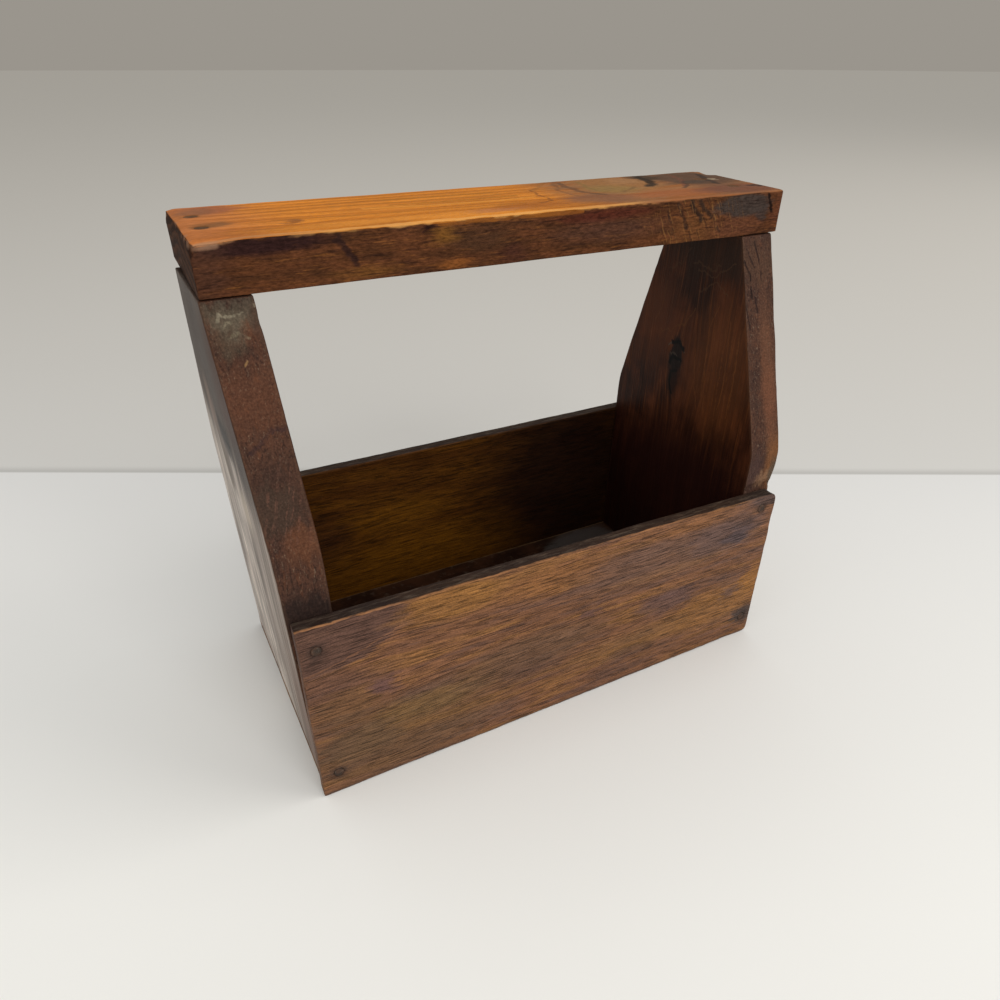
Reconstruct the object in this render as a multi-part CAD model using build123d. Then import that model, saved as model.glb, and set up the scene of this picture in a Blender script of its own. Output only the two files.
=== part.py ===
from build123d import *
import os

# A small hand tote for tools or parts. Two tall end boards stand on a bottom
# board. Thin front and back boards are nailed over their edges, and a flat
# board is nailed down across their tops as the handle.
#
# X runs along the length, Y from the front to the back, and Z up. The origin
# is on the table, under the middle of the box. All sizes are in millimetres.

os.makedirs("parts", exist_ok=True)

# Box
BOX_LENGTH = 254.0  # front board, end to end
BOX_DEPTH = 135.5  # over the outer faces of the front and back boards
SIDE_THICKNESS = 6.5  # front and back boards
BOTTOM_THICKNESS = 6.5
FRONT_LEFT_HEIGHT = 99.5  # the front board's top edge runs down to the right
FRONT_RIGHT_HEIGHT = 95.5
BACK_HEIGHT = 95.5
WORN_CORNER_RADIUS = 2.6  # right-hand corners of the front board

# End boards
END_THICKNESS = 19.0
END_HEIGHT = 217.8  # from the table to the seat of the handle
END_TOP_WIDTH = 55.0
END_TOP_SETBACK = 2.6  # middle of the top, behind the middle of the box
LEFT_SHOULDER_HEIGHT = 129.3
RIGHT_SHOULDER_HEIGHT = 116.5
SHOULDER_RADIUS = 14.0
END_INSET = 1.0  # outer face, inside the end of the front board, at the table
END_LEAN = 5.3  # how far each end board leans outwards over its height
END_FLARE = 3.8  # how much further out each end board stands at the back

# Handle
HANDLE_THICKNESS = 19.0
HANDLE_WIDTH = 73.5
HANDLE_LEFT_SETBACK = 0.6  # from the left end board's front corner
HANDLE_LEFT_SKEW = 1.0  # the left end, too, is longer at the back
HANDLE_RIGHT_OVERHANG = 4.0  # past the right end board's front corner
HANDLE_RIGHT_SKEW = 9.3  # the right end is cut out of square, longer at the back
HANDLE_CORNER_RADIUS = 1.2  # its two right-hand corners, seen from above
HANDLE_ARRIS_RADIUS = 0.9  # its worn long edges

# Nails for the box
BOX_NAIL_HEAD_DIAMETER = 4.6
BOX_NAIL_HEAD_THICKNESS = 0.9
BOX_NAIL_SHANK_DIAMETER = 1.8
BOX_NAIL_LENGTH = 30.0

# Nails for the handle
HANDLE_NAIL_HEAD_DIAMETER = 5.6
HANDLE_NAIL_HEAD_THICKNESS = 1.2
HANDLE_NAIL_SHANK_DIAMETER = 2.5
HANDLE_NAIL_LENGTH = 50.0

# Shared by all nails
NAIL_POINT_DIAMETERS = 1.5  # length of the point, in shank diameters
NAIL_TIP_DIAMETER = 0.3
NAIL_HEAD_EDGE_RADIUS = 0.25
NAIL_SET = 0.3  # how far each head is driven below the face of its board
NAIL_FIT = 0.05  # clearance round the shank and the head

# Where the nails stand
UPPER_NAIL_DROP = 13.0  # below the top edge of the front or back board
FRONT_RIGHT_NAIL_DROP = 8.0  # the upper nail at the front right is closer to it
LOWER_NAIL_RISE = 6.0  # above the bottom board's upper face

# Each nail stands beside the middle of its end board by this share of the
# board's thickness, outwards where it is positive: upper nail, lower nail.
FRONT_LEFT_STRAYS = (0.05, 0.10)
FRONT_RIGHT_STRAYS = (-0.06, 0.20)
BACK_LEFT_STRAYS = (0.08, -0.05)
BACK_RIGHT_STRAYS = (0.02, 0.12)

# Along the end board's top or bottom edge, as shares of its width from the front.
HANDLE_LEFT_SHARES = (0.48, 0.94)
HANDLE_RIGHT_SHARES = (0.40, 0.86)
BOTTOM_SHARES = (0.22, 0.78)

OVERCUT = 1.0  # how far a cutting shape starts outside the wood

# Worked out from the sizes above
LEFT = -1
RIGHT = 1
INNER_FRONT = -BOX_DEPTH / 2 + SIDE_THICKNESS
INNER_BACK = BOX_DEPTH / 2 - SIDE_THICKNESS
END_WIDTH = INNER_BACK - INNER_FRONT
LEAN_SLOPE = END_LEAN / END_HEIGHT
FLARE_SLOPE = END_FLARE / END_WIDTH
TOP_FRONT = END_TOP_SETBACK - END_TOP_WIDTH / 2
TOP_BACK = END_TOP_SETBACK + END_TOP_WIDTH / 2
HANDLE_TOP = END_HEIGHT + HANDLE_THICKNESS
REACH = 4 * max(BOX_LENGTH, BOX_DEPTH, HANDLE_TOP)  # larger than the whole tote


def outer_x(side, y, z):
    """X of an end board's outer face."""
    out_at_front = BOX_LENGTH / 2 - END_INSET
    return side * (out_at_front + LEAN_SLOPE * z + FLARE_SLOPE * (y - INNER_FRONT))


def middle_x(side, y, z):
    """X of the middle of an end board's thickness."""
    return outer_x(side, y, z) - side * END_THICKNESS / 2


def outline(points):
    """Flat face inside a closed run of straight lines."""
    return make_face(Polyline(*points, close=True))


class Nail:
    """A round wire nail, drawn with its head up and its point down."""

    def __init__(self, head_diameter, head_thickness, shank_diameter, length):
        self.head_radius = head_diameter / 2
        self.head_thickness = head_thickness
        self.shank_radius = shank_diameter / 2
        self.length = length
        self.point_length = NAIL_POINT_DIAMETERS * shank_diameter

    def solid(self, place):
        """The nail, driven in at a place on the face of a board."""
        downwards = (Align.CENTER, Align.CENTER, Align.MAX)
        top = -NAIL_SET
        head = Pos(0, 0, top) * Cylinder(self.head_radius, self.head_thickness, align=downwards)
        head = fillet(head.edges().sort_by(Axis.Z)[-1], NAIL_HEAD_EDGE_RADIUS)
        straight = self.length - self.point_length
        shank = Pos(0, 0, top) * Cylinder(self.shank_radius, straight, align=downwards)
        point = Cone(NAIL_TIP_DIAMETER / 2, self.shank_radius, self.point_length, align=downwards)
        return place * (head + shank + Pos(0, 0, top - straight) * point)

    def hole(self, place):
        """The hole it stands in: a seat for the head and a bore for the shank."""
        upwards = (Align.CENTER, Align.CENTER, Align.MIN)
        seat_floor = -NAIL_SET - self.head_thickness
        bore_floor = -NAIL_SET - self.length - NAIL_FIT
        seat = Cylinder(self.head_radius + NAIL_FIT, OVERCUT - seat_floor, align=upwards)
        bore = Cylinder(self.shank_radius + NAIL_FIT, -bore_floor, align=upwards)
        return place * (Pos(0, 0, seat_floor) * seat + Pos(0, 0, bore_floor) * bore)


class Joint:
    """The nails of one joint and the two boards that they hold together."""

    def __init__(self, nail, boards, places):
        self.boards = boards
        self.nails = [nail.solid(place) for place in places]
        self.holes = [nail.hole(place) for place in places]


def upright_face(points, front_y, thickness):
    """Board standing on edge, from its outline in X and Z and its front face's Y."""
    face = Plane.XZ.offset(-front_y) * outline(points)
    return extrude(face, amount=-thickness)


def front_board():
    """Thin board over the front edges, with a sloping top and two worn corners."""
    half = BOX_LENGTH / 2
    corners = [(-half, 0), (half, 0), (half, FRONT_RIGHT_HEIGHT), (-half, FRONT_LEFT_HEIGHT)]
    board = upright_face(corners, -BOX_DEPTH / 2, SIDE_THICKNESS)
    right_end = board.edges().filter_by(Axis.Y).sort_by(Axis.X)[-2:]
    return fillet(right_end, WORN_CORNER_RADIUS)


def back_board():
    """Thin board over the back edges, flush with the flared end boards at the table."""
    half = outer_x(RIGHT, INNER_BACK, 0)
    corners = [(-half, 0), (half, 0), (half, BACK_HEIGHT), (-half, BACK_HEIGHT)]
    return upright_face(corners, INNER_BACK, SIDE_THICKNESS)


def bottom_board():
    """Thin board between the front and back boards, as long as the ends stand apart."""
    corners = []
    for y, sides in ((INNER_FRONT, (LEFT, RIGHT)), (INNER_BACK, (RIGHT, LEFT))):
        corners += [(outer_x(side, y, 0), y) for side in sides]
    return extrude(outline(corners), amount=BOTTOM_THICKNESS)


def end_board(side, shoulder_height):
    """Tall board, tapered above its shoulder, that leans and flares outwards."""
    corners = [
        (INNER_FRONT, BOTTOM_THICKNESS),
        (INNER_BACK, BOTTOM_THICKNESS),
        (INNER_BACK, shoulder_height),
        (TOP_BACK, END_HEIGHT),
        (TOP_FRONT, END_HEIGHT),
        (INNER_FRONT, shoulder_height),
    ]
    shape = extrude(Plane.YZ * outline(corners), amount=REACH, both=True)
    along = shape.edges().filter_by(Axis.X)
    shoulders = along.filter_by_position(Axis.Z, shoulder_height, shoulder_height)
    shape = fillet(shoulders, SHOULDER_RADIUS)
    outer_face = Plane(
        origin=(outer_x(side, 0, 0), 0, 0),
        z_dir=(side, -FLARE_SLOPE, -LEAN_SLOPE),
    )
    slab = extrude(outer_face * Rectangle(REACH, REACH), amount=-END_THICKNESS)
    return shape & slab


def handle_board():
    """Flat board across the end boards, flush with them in front."""
    left = outer_x(LEFT, TOP_FRONT, END_HEIGHT) + HANDLE_LEFT_SETBACK
    right = outer_x(RIGHT, TOP_FRONT, END_HEIGHT) + HANDLE_RIGHT_OVERHANG
    back = TOP_FRONT + HANDLE_WIDTH
    corners = [
        (left, TOP_FRONT),
        (right, TOP_FRONT),
        (right + HANDLE_RIGHT_SKEW, back),
        (left - HANDLE_LEFT_SKEW, back),
    ]
    board = extrude(Plane.XY.offset(END_HEIGHT) * outline(corners), amount=HANDLE_THICKNESS)
    right_end = board.edges().filter_by(Axis.Z).sort_by(Axis.X)[-2:]
    board = fillet(right_end, HANDLE_CORNER_RADIUS)
    return fillet(board.edges().filter_by(Axis.X), HANDLE_ARRIS_RADIUS)


def side_places(side, face_y, seat_y, upper_height, strays):
    """Where the two nails of an upright joint enter the front or back board."""
    heights = (upper_height, BOTTOM_THICKNESS + LOWER_NAIL_RISE)
    places = []
    for height, stray in zip(heights, strays):
        x = middle_x(side, seat_y, height) + side * stray * END_THICKNESS
        places.append(Plane(origin=(x, face_y, height), z_dir=(0, face_y, 0)))
    return places


def edge_places(side, entry_z, seat_z, front, width, shares):
    """Where the nails into an end board's top or bottom edge enter the flat board."""
    places = []
    for share in shares:
        y = front + share * width
        entry = (middle_x(side, y, seat_z), y, entry_z)
        places.append(Plane(origin=entry, z_dir=(0, 0, 1 if entry_z > seat_z else -1)))
    return places


def front_joint(side, end_name, upper_height, strays):
    """Nails through the front board into one end board."""
    places = side_places(side, -BOX_DEPTH / 2, INNER_FRONT, upper_height, strays)
    return Joint(box_nail, ("front_board", end_name), places)


def back_joint(side, end_name, strays):
    """Nails through the back board into one end board."""
    upper_height = BACK_HEIGHT - UPPER_NAIL_DROP
    places = side_places(side, BOX_DEPTH / 2, INNER_BACK, upper_height, strays)
    return Joint(box_nail, ("back_board", end_name), places)


def handle_joint(side, end_name, shares):
    """Nails down through the handle into one end board."""
    places = edge_places(side, HANDLE_TOP, END_HEIGHT, TOP_FRONT, END_TOP_WIDTH, shares)
    return Joint(handle_nail, ("handle_board", end_name), places)


def bottom_joint(side, end_name):
    """Nails up through the bottom board into one end board."""
    places = edge_places(side, 0, BOTTOM_THICKNESS, INNER_FRONT, END_WIDTH, BOTTOM_SHARES)
    return Joint(box_nail, ("bottom_board", end_name), places)


box_nail = Nail(
    BOX_NAIL_HEAD_DIAMETER,
    BOX_NAIL_HEAD_THICKNESS,
    BOX_NAIL_SHANK_DIAMETER,
    BOX_NAIL_LENGTH,
)
handle_nail = Nail(
    HANDLE_NAIL_HEAD_DIAMETER,
    HANDLE_NAIL_HEAD_THICKNESS,
    HANDLE_NAIL_SHANK_DIAMETER,
    HANDLE_NAIL_LENGTH,
)

boards = {
    "front_board": front_board(),
    "back_board": back_board(),
    "bottom_board": bottom_board(),
    "left_end_board": end_board(LEFT, LEFT_SHOULDER_HEIGHT),
    "right_end_board": end_board(RIGHT, RIGHT_SHOULDER_HEIGHT),
    "handle_board": handle_board(),
}

left_end = "left_end_board"
right_end = "right_end_board"
front_left_height = FRONT_LEFT_HEIGHT - UPPER_NAIL_DROP
front_right_height = FRONT_RIGHT_HEIGHT - FRONT_RIGHT_NAIL_DROP
joints = {
    "front_left_nails": front_joint(LEFT, left_end, front_left_height, FRONT_LEFT_STRAYS),
    "front_right_nails": front_joint(RIGHT, right_end, front_right_height, FRONT_RIGHT_STRAYS),
    "back_left_nails": back_joint(LEFT, left_end, BACK_LEFT_STRAYS),
    "back_right_nails": back_joint(RIGHT, right_end, BACK_RIGHT_STRAYS),
    "handle_left_nails": handle_joint(LEFT, left_end, HANDLE_LEFT_SHARES),
    "handle_right_nails": handle_joint(RIGHT, right_end, HANDLE_RIGHT_SHARES),
    "bottom_left_nails": bottom_joint(LEFT, left_end),
    "bottom_right_nails": bottom_joint(RIGHT, right_end),
}

for joint in joints.values():
    for board_name in joint.boards:
        boards[board_name] -= joint.holes

for name, board in boards.items():
    export_step(board, f"parts/{name}.step")
for name, joint in joints.items():
    export_step(Compound(children=joint.nails), f"parts/{name}.step")
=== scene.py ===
"""A hand tote of six nailed boards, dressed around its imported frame.

Each board is cut again from the flat faces of its own node, as an old hand-sawn board
with worn edges, and each joint's nails are driven again as old wire nails. Sizes here
are millimetres, and a mesh is turned to metres when it is written.
"""

import itertools
import logging
import math
from dataclasses import dataclass, field
from enum import Enum
from typing import Any

import bmesh
import bpy
import numpy as np
from mathutils import Matrix, Vector


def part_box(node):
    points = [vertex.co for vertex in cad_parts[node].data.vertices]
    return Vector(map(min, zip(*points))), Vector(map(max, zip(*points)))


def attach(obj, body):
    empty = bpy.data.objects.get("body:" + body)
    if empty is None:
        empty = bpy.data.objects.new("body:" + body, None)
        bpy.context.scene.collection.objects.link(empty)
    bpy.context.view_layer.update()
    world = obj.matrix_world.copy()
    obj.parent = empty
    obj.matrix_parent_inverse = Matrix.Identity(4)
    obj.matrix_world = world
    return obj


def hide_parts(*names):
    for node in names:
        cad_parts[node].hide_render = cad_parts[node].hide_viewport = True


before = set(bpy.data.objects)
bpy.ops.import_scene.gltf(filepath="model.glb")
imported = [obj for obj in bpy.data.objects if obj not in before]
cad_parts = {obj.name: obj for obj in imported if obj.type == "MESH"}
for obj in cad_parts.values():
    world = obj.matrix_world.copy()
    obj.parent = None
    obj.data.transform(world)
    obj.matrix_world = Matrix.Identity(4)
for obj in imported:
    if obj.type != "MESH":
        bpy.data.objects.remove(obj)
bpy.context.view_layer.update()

log = logging.getLogger("tote")

MM = 0.001  # one millimetre, in metres
BODY = "root"

# Node kinds, by the names that a maker of materials knows them by.
MATH = "ShaderNodeMath"
VECTOR = "ShaderNodeVectorMath"
NOISE = "ShaderNodeTexNoise"
MIX = "ShaderNodeMix"
SPLIT = "ShaderNodeSeparateXYZ"
JOIN = "ShaderNodeCombineXYZ"
RANGE = "ShaderNodeMapRange"
PLACE = "ShaderNodeTexCoord"
READ = "ShaderNodeAttribute"
RELIEF = "ShaderNodeBump"
SURFACE = "ShaderNodeBsdfPrincipled"

# Sockets of the colour mix: how much, what lies under and what lies over.
AMOUNT, UNDER, OVER, MIXED = 0, 6, 7, 2


class Axis(Enum):
    """A direction of the frame."""

    LENGTH = 0
    DEPTH = 1
    HEIGHT = 2


class Face(Enum):
    """The face of a board that its nails enter, as an axis and a way along it."""

    FRONT = (1, -1)
    BACK = (1, 1)
    TOP = (2, 1)
    UNDER = (2, -1)


def linear(code: str) -> tuple[float, float, float, float]:
    """Turns an sRGB hex colour to the linear values that a shader wants.

    Args:
        code: six hex digits, with or without a leading hash.

    Returns:
        Linear red, green and blue, and an alpha of one.
    """
    digits = code.lstrip("#")
    parts = [int(digits[i : i + 2], 16) / 255 for i in (0, 2, 4)]
    red, green, blue = [c / 12.92 if c <= 0.04045 else ((c + 0.055) / 1.055) ** 2.4 for c in parts]
    return red, green, blue, 1.0


def add(tree: Any, kind: str, links: dict | None = None, out: int | str = 0, **settings: Any) -> Any:
    """Adds one node with its settings, values and links.

    Args:
        tree: the node tree that gets the node.
        kind: the node's type.
        links: input name or number, to a value or to the socket that feeds it.
        out: name or number of the output that is wanted.
        **settings: properties of the node itself.

    Returns:
        The wanted output socket, or the node if it has no output.
    """
    made = tree.nodes.new(kind)
    for name, value in settings.items():
        setattr(made, name, value)
    for key, value in (links or {}).items():
        socket = made.inputs[key]
        if isinstance(value, bpy.types.NodeSocket):
            tree.links.new(value, socket)
        else:
            socket.default_value = value
    return made.outputs[out] if len(made.outputs) else made


# ---------------------------------------------------------------- board shapes


def wander(points: np.ndarray, size: float | tuple, seed: int) -> np.ndarray:
    """Smooth random values that change over a given distance.

    Args:
        points: places, one row each.
        size: distance over which the values change, for all axes or for each.
        seed: picks one pattern out of many.

    Returns:
        One value from -1 to 1 for each place.
    """
    cell = points / np.asarray(size, float)
    low = np.floor(cell).astype(np.int64)
    part = cell - low
    part = part * part * (3 - 2 * part)
    total = np.zeros(len(points))
    for corner in itertools.product((0, 1), repeat=3):
        spot = low + np.array(corner)
        code = spot @ np.array([73856093, 19349663, 83492791]) + seed * 2654435761
        code = (code ^ (code >> 13)) * 1274126177
        value = ((code ^ (code >> 16)) & 0xFFFF) / 32767.5 - 1
        total += value * np.where(corner, part, 1 - part).prod(axis=1)
    return total


def graded(low: float, high: float, step: float, fine: list[tuple[float, float, float]]) -> np.ndarray:
    """Lays lines between two ends, closer near both ends and in the fine stretches.

    Args:
        low: first end.
        high: last end.
        step: spacing of the lines elsewhere.
        fine: stretches with a spacing of their own, as (from, to, spacing).

    Returns:
        The lines' places, in order.
    """
    close = np.array([0.0, 0.22, 0.5, 0.9, 1.4, 2.1])
    close = close[close < (high - low) / 2 - 0.2]
    count = max(2, round((high - low - 2 * close[-1]) / step))
    middle = np.linspace(low + close[-1], high - close[-1], count + 1)
    lines = [low + close, high - close, middle]
    for start, end, spacing in fine:
        start, end = max(start, low + close[-1]), min(end, high - close[-1])
        if end > start:
            inside = (middle > start) & (middle < end)
            lines[2] = middle = middle[~inside]
            lines.append(np.linspace(start, end, max(2, round((end - start) / spacing) + 1)))
    places = np.unique(np.round(np.concatenate(lines), 3))
    keep = np.concatenate([[True], np.diff(places) > 0.12])
    return places[keep]


SMALLEST_FACE = 0.4  # square millimetres: anything smaller is a rounded edge's facet
SAME_WAY = 0.9998  # two normals whose product is more than this belong to one plane
SAME_DISTANCE = 0.06


@dataclass
class Planes:
    """Flat faces that bound a convex board: outward normals and distances from the origin."""

    normals: np.ndarray
    distances: np.ndarray

    @classmethod
    def of_node(cls, node: str) -> "Planes":
        """Reads the planes that hold a whole node on one side, which leaves its nail holes out.

        Args:
            node: name of the frame's node.

        Returns:
            The planes, each once.
        """
        shell = bmesh.new()
        shell.from_mesh(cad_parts[node].data)
        points = np.array([vertex.co for vertex in shell.verts]) / MM
        smallest = SMALLEST_FACE * MM * MM
        found: list[tuple[np.ndarray, float]] = []
        for flat in sorted(shell.faces, key=lambda f: -f.calc_area()):
            normal = np.array(flat.normal, float)
            distance = float(flat.normal.dot(flat.calc_center_median())) / MM
            known = any(normal @ n > SAME_WAY and abs(distance - d) < SAME_DISTANCE for n, d in found)
            if known or flat.calc_area() < smallest:
                continue
            if (points @ normal).max() < distance + 0.02:
                found.append((normal, distance))
        shell.free()
        return cls(np.array([n for n, _ in found]), np.array([d for _, d in found]))

    def pick(self, chosen: np.ndarray) -> "Planes":
        """The planes that a mask picks."""
        return Planes(self.normals[chosen], self.distances[chosen])

    def depth(self, points: np.ndarray, softness: float) -> tuple[np.ndarray, np.ndarray]:
        """Signed distance to the planes' common inside, with the corners eased.

        Args:
            points: places, one row each.
            softness: how far a corner between two planes is eased.

        Returns:
            The distances, positive outside, and the ways out as unit rows.
        """
        each = points @ self.normals.T - self.distances
        top = each.max(axis=1, keepdims=True)
        share = np.exp((each - top) / softness)
        total = share.sum(axis=1, keepdims=True)
        way = (share / total) @ self.normals
        way /= np.maximum(np.linalg.norm(way, axis=1, keepdims=True), 1e-6)
        return (top + softness * np.log(total))[:, 0], way

    def span(self, axis: int, fixed: dict[int, np.ndarray]) -> tuple[np.ndarray, np.ndarray]:
        """Where a line along one axis enters and leaves the planes.

        Args:
            axis: the line's axis.
            fixed: the line's place on the other axes. An axis left out is held at zero.

        Returns:
            Lowest and highest place inside, for each line.
        """
        rest = self.distances[:, None] * np.ones(len(next(iter(fixed.values()))))
        for other, place in fixed.items():
            rest = rest - self.normals[:, other][:, None] * place
        slope = self.normals[:, axis]
        upper, lower = slope > 1e-3, slope < -1e-3
        high = (rest[upper] / slope[upper][:, None]).min(axis=0)
        low = (rest[lower] / slope[lower][:, None]).max(axis=0)
        return low, high


@dataclass(frozen=True)
class Dent:
    """A place where wood is gone: its middle, its reach on each axis and its depth."""

    middle: tuple[float, float, float]
    reach: tuple[float, float, float]
    depth: float
    softness: float = 0.8  # share of the reach over which the dent fades out

    def wear(self, points: np.ndarray) -> np.ndarray:
        """How deep the dent is at each place.

        Args:
            points: places, one row each.

        Returns:
            The depths.
        """
        away = np.linalg.norm((points - self.middle) / self.reach, axis=1)
        rise = np.clip((1 - away) / self.softness, 0, 1)
        return self.depth * rise * rise * (3 - 2 * rise)


@dataclass
class Board:
    """One board, cut along its grain and worn at its edges."""

    node: str
    rows: Axis  # the rows of the mesh follow one another along this axis
    across: Axis
    seed: int
    step: float = 1.6  # spacing of the mesh on the flat faces
    arris: float = 0.9  # radius of the worn edges
    blunt: tuple[float, float] = (1.0, 1.0)  # share of the arris at either broad face
    saw_wander: float = 0.08  # how far the sawn outline strays inwards
    dish: float = 0.05  # unevenness of the flat faces
    nails: list[tuple[str, Face]] = field(default_factory=list)
    dents: list[Dent] = field(default_factory=list)
    fine: list[tuple[Axis, float, float, float]] = field(default_factory=list)

    def through(self) -> int:
        """The axis through the board's thickness."""
        return 3 - self.rows.value - self.across.value

    def sorted_planes(self) -> tuple[Planes, Planes]:
        """The planes round the outline, and the two broad faces.

        Returns:
            The two sets of planes.
        """
        planes = Planes.of_node(self.node)
        facing = np.abs(planes.normals[:, self.through()])
        return planes.pick(facing < 0.03), planes.pick(facing > 0.998)

    def entries(self) -> list[tuple[np.ndarray, Face]]:
        """Where each nail's head lies in this board, and in which face."""
        return [(head, face) for name, face in self.nails for head in nail_heads(name, face)]

    def fine_stretches(self, axis: Axis) -> list[tuple[float, float, float]]:
        """Stretches along an axis where the mesh is closer: round nail heads and by order.

        Args:
            axis: the axis that the mesh lines cross.

        Returns:
            The stretches, as (from, to, spacing).
        """
        found = [(low, high, gap) for which, low, high, gap in self.fine if which is axis]
        for head, _ in self.entries():
            place = head[axis.value]
            found.append((place - NAIL_BERTH, place + NAIL_BERTH, NAIL_MESH))
        return found

    def lattice(self, outline: Planes, faces: Planes) -> tuple[np.ndarray, np.ndarray]:
        """Lays the board's skin as a closed grid of quads.

        Args:
            outline: planes round the outline.
            faces: the two broad faces.

        Returns:
            The points and the quads.
        """
        row_axis, cross_axis, thin_axis = self.rows.value, self.across.value, self.through()
        low, high = (np.array(corner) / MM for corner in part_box(self.node))
        ends = graded(low[row_axis], high[row_axis], self.step, self.fine_stretches(self.rows))
        rough = graded(low[cross_axis], high[cross_axis], self.step, self.fine_stretches(self.across))
        shares = (rough - rough[0]) / (rough[-1] - rough[0])
        thin = graded(0, high[thin_axis] - low[thin_axis], self.step, [])
        depths = (thin - thin[0]) / (thin[-1] - thin[0])
        start, stop = outline.span(cross_axis, {row_axis: ends})
        count = (len(ends), len(shares), len(depths))
        places = np.zeros((*count, 3))
        places[..., row_axis] = ends[:, None, None]
        crossing = start[:, None] + shares * (stop - start)[:, None]
        places[..., cross_axis] = crossing[:, :, None]
        flat = {row_axis: np.repeat(ends, count[1]), cross_axis: crossing.ravel()}
        near, far = (edge.reshape(count[:2]) for edge in faces.span(thin_axis, flat))
        places[..., thin_axis] = near[:, :, None] + depths * (far - near)[:, :, None]
        skin = np.zeros(count, bool)
        for side in range(3):
            for end in (0, -1):
                skin[tuple(end if i == side else slice(None) for i in range(3))] = True
        number = np.full(count, -1)
        number[skin] = np.arange(skin.sum())
        quads = []
        for side in range(3):
            for end in (0, -1):
                sheet = number[tuple(end if i == side else slice(None) for i in range(3))]
                square = [sheet[:-1, :-1], sheet[1:, :-1], sheet[1:, 1:], sheet[:-1, 1:]]
                quads.append(np.stack([corner.ravel() for corner in square], axis=1))
        return places[skin], np.concatenate(quads)

    def wear(self, points: np.ndarray) -> np.ndarray:
        """How much wood is gone at each place, apart from the rounded edges.

        Args:
            points: places, one row each.

        Returns:
            The depths.
        """
        gone = self.dish * (1 + wander(points, 22.0, self.seed))
        gone += 0.35 * self.dish * (1 + wander(points, 6.0, self.seed + 1))
        for dent in self.dents:
            gone += dent.wear(points)
        for head, face in self.entries():
            axis, way = face.value
            away = points - head
            inside = np.abs(away[:, axis]) < 3.0
            away[:, axis] = 0
            distance = np.linalg.norm(away, axis=1) + 0.12 * wander(points, 1.5, self.seed + 5)
            seat = np.clip((NAIL_SEAT_RADIUS + NAIL_SEAT_RIM - distance) / 0.5, 0, 1)
            bruise = np.exp(-((distance / BRUISE_REACH) ** 2)) * BRUISE_DEPTH
            gone += inside * (seat * NAIL_SEAT_DEPTH + bruise)
        return gone

    def shape(self) -> tuple[np.ndarray, np.ndarray, np.ndarray, np.ndarray]:
        """Rounds and wears the skin.

        Returns:
            Points, quads, nearness to an edge from 0 to 1, and nearness to a nail.
        """
        outline, faces = self.sorted_planes()
        points, quads = self.lattice(outline, faces)
        first = points.copy()
        radius = self.arris * (1 + 0.55 * wander(first, 13.0, self.seed + 2))
        radius *= 1 + 0.35 * wander(first, 3.5, self.seed + 3)
        thin = first[:, self.through()]
        radius *= np.where(thin < thin.mean(), *self.blunt)
        stray = self.saw_wander * (1 + wander(first, 16.0, self.seed + 4))
        gone = self.wear(first)
        for _ in range(6):
            side, side_way = outline.depth(points, 0.25)
            broad, broad_way = faces.depth(points, 0.05)
            side = side + stray + radius
            broad = broad + radius
            both = np.stack([np.maximum(side, 0), np.maximum(broad, 0)], axis=1)
            length = np.linalg.norm(both, axis=1)
            value = length + np.minimum(np.maximum(side, broad), 0) - radius + gone
            weight = both / np.maximum(length, 1e-9)[:, None]
            inner = length < 1e-9
            weight[inner, 0] = side[inner] > broad[inner]
            weight[inner, 1] = side[inner] <= broad[inner]
            way = weight[:, :1] * side_way + weight[:, 1:] * broad_way
            points = points - value[:, None] * way / np.maximum((way**2).sum(axis=1), 0.2)[:, None]
        side, _ = outline.depth(points, 0.25)
        broad, _ = faces.depth(points, 0.05)
        edge = np.exp(-((side / 1.6) ** 2)) * np.exp(-((broad / 1.6) ** 2))
        rust = np.zeros(len(points))
        for head, face in self.entries():
            distance = np.linalg.norm(points - head, axis=1)
            rust = np.maximum(rust, np.exp(-((distance / RUST_REACH) ** 2)))
        return points, quads, edge, rust

    def build(self, finish: "Finish") -> bpy.types.Object:
        """Makes the board, dresses it and lets it stand for its node.

        Args:
            finish: the board's finish.

        Returns:
            The finished board.
        """
        points, quads, edge, rust = self.shape()
        mesh = bpy.data.meshes.new(self.node)
        mesh.from_pydata((points * MM).tolist(), [], quads.tolist())
        for name, values in (("edge", edge), ("rust", rust)):
            layer = mesh.attributes.new(name, "FLOAT", "POINT")
            layer.data.foreach_set("value", values.astype(np.float32))
        tidy = bmesh.new()
        tidy.from_mesh(mesh)
        bmesh.ops.recalc_face_normals(tidy, faces=tidy.faces)
        tidy.to_mesh(mesh)
        tidy.free()
        mesh.shade_smooth()
        mesh.materials.append(finish.material())
        board = bpy.data.objects.new("worn_" + self.node, mesh)
        bpy.context.scene.collection.objects.link(board)
        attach(board, BODY)
        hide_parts(self.node)
        log.info("%s: %d points, %d quads", board.name, len(points), len(quads))
        return board


# ---------------------------------------------------------------- nails

NAIL_BERTH = 3.6  # half width of the closer mesh round a nail's head
NAIL_MESH = 0.45
NAIL_SEAT_RADIUS = 2.35
NAIL_SEAT_DEPTH = 0.75
NAIL_SEAT_RIM = 0.35  # how far the seat's rim is eased outwards
BRUISE_REACH = 4.0  # how far from a nail the hammer pressed the wood
BRUISE_DEPTH = 0.12
RUST_REACH = 4.2  # how far from a nail its rust stains the wood
NAIL_GAP = 8.0  # two nails of a row are always further apart than this


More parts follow.
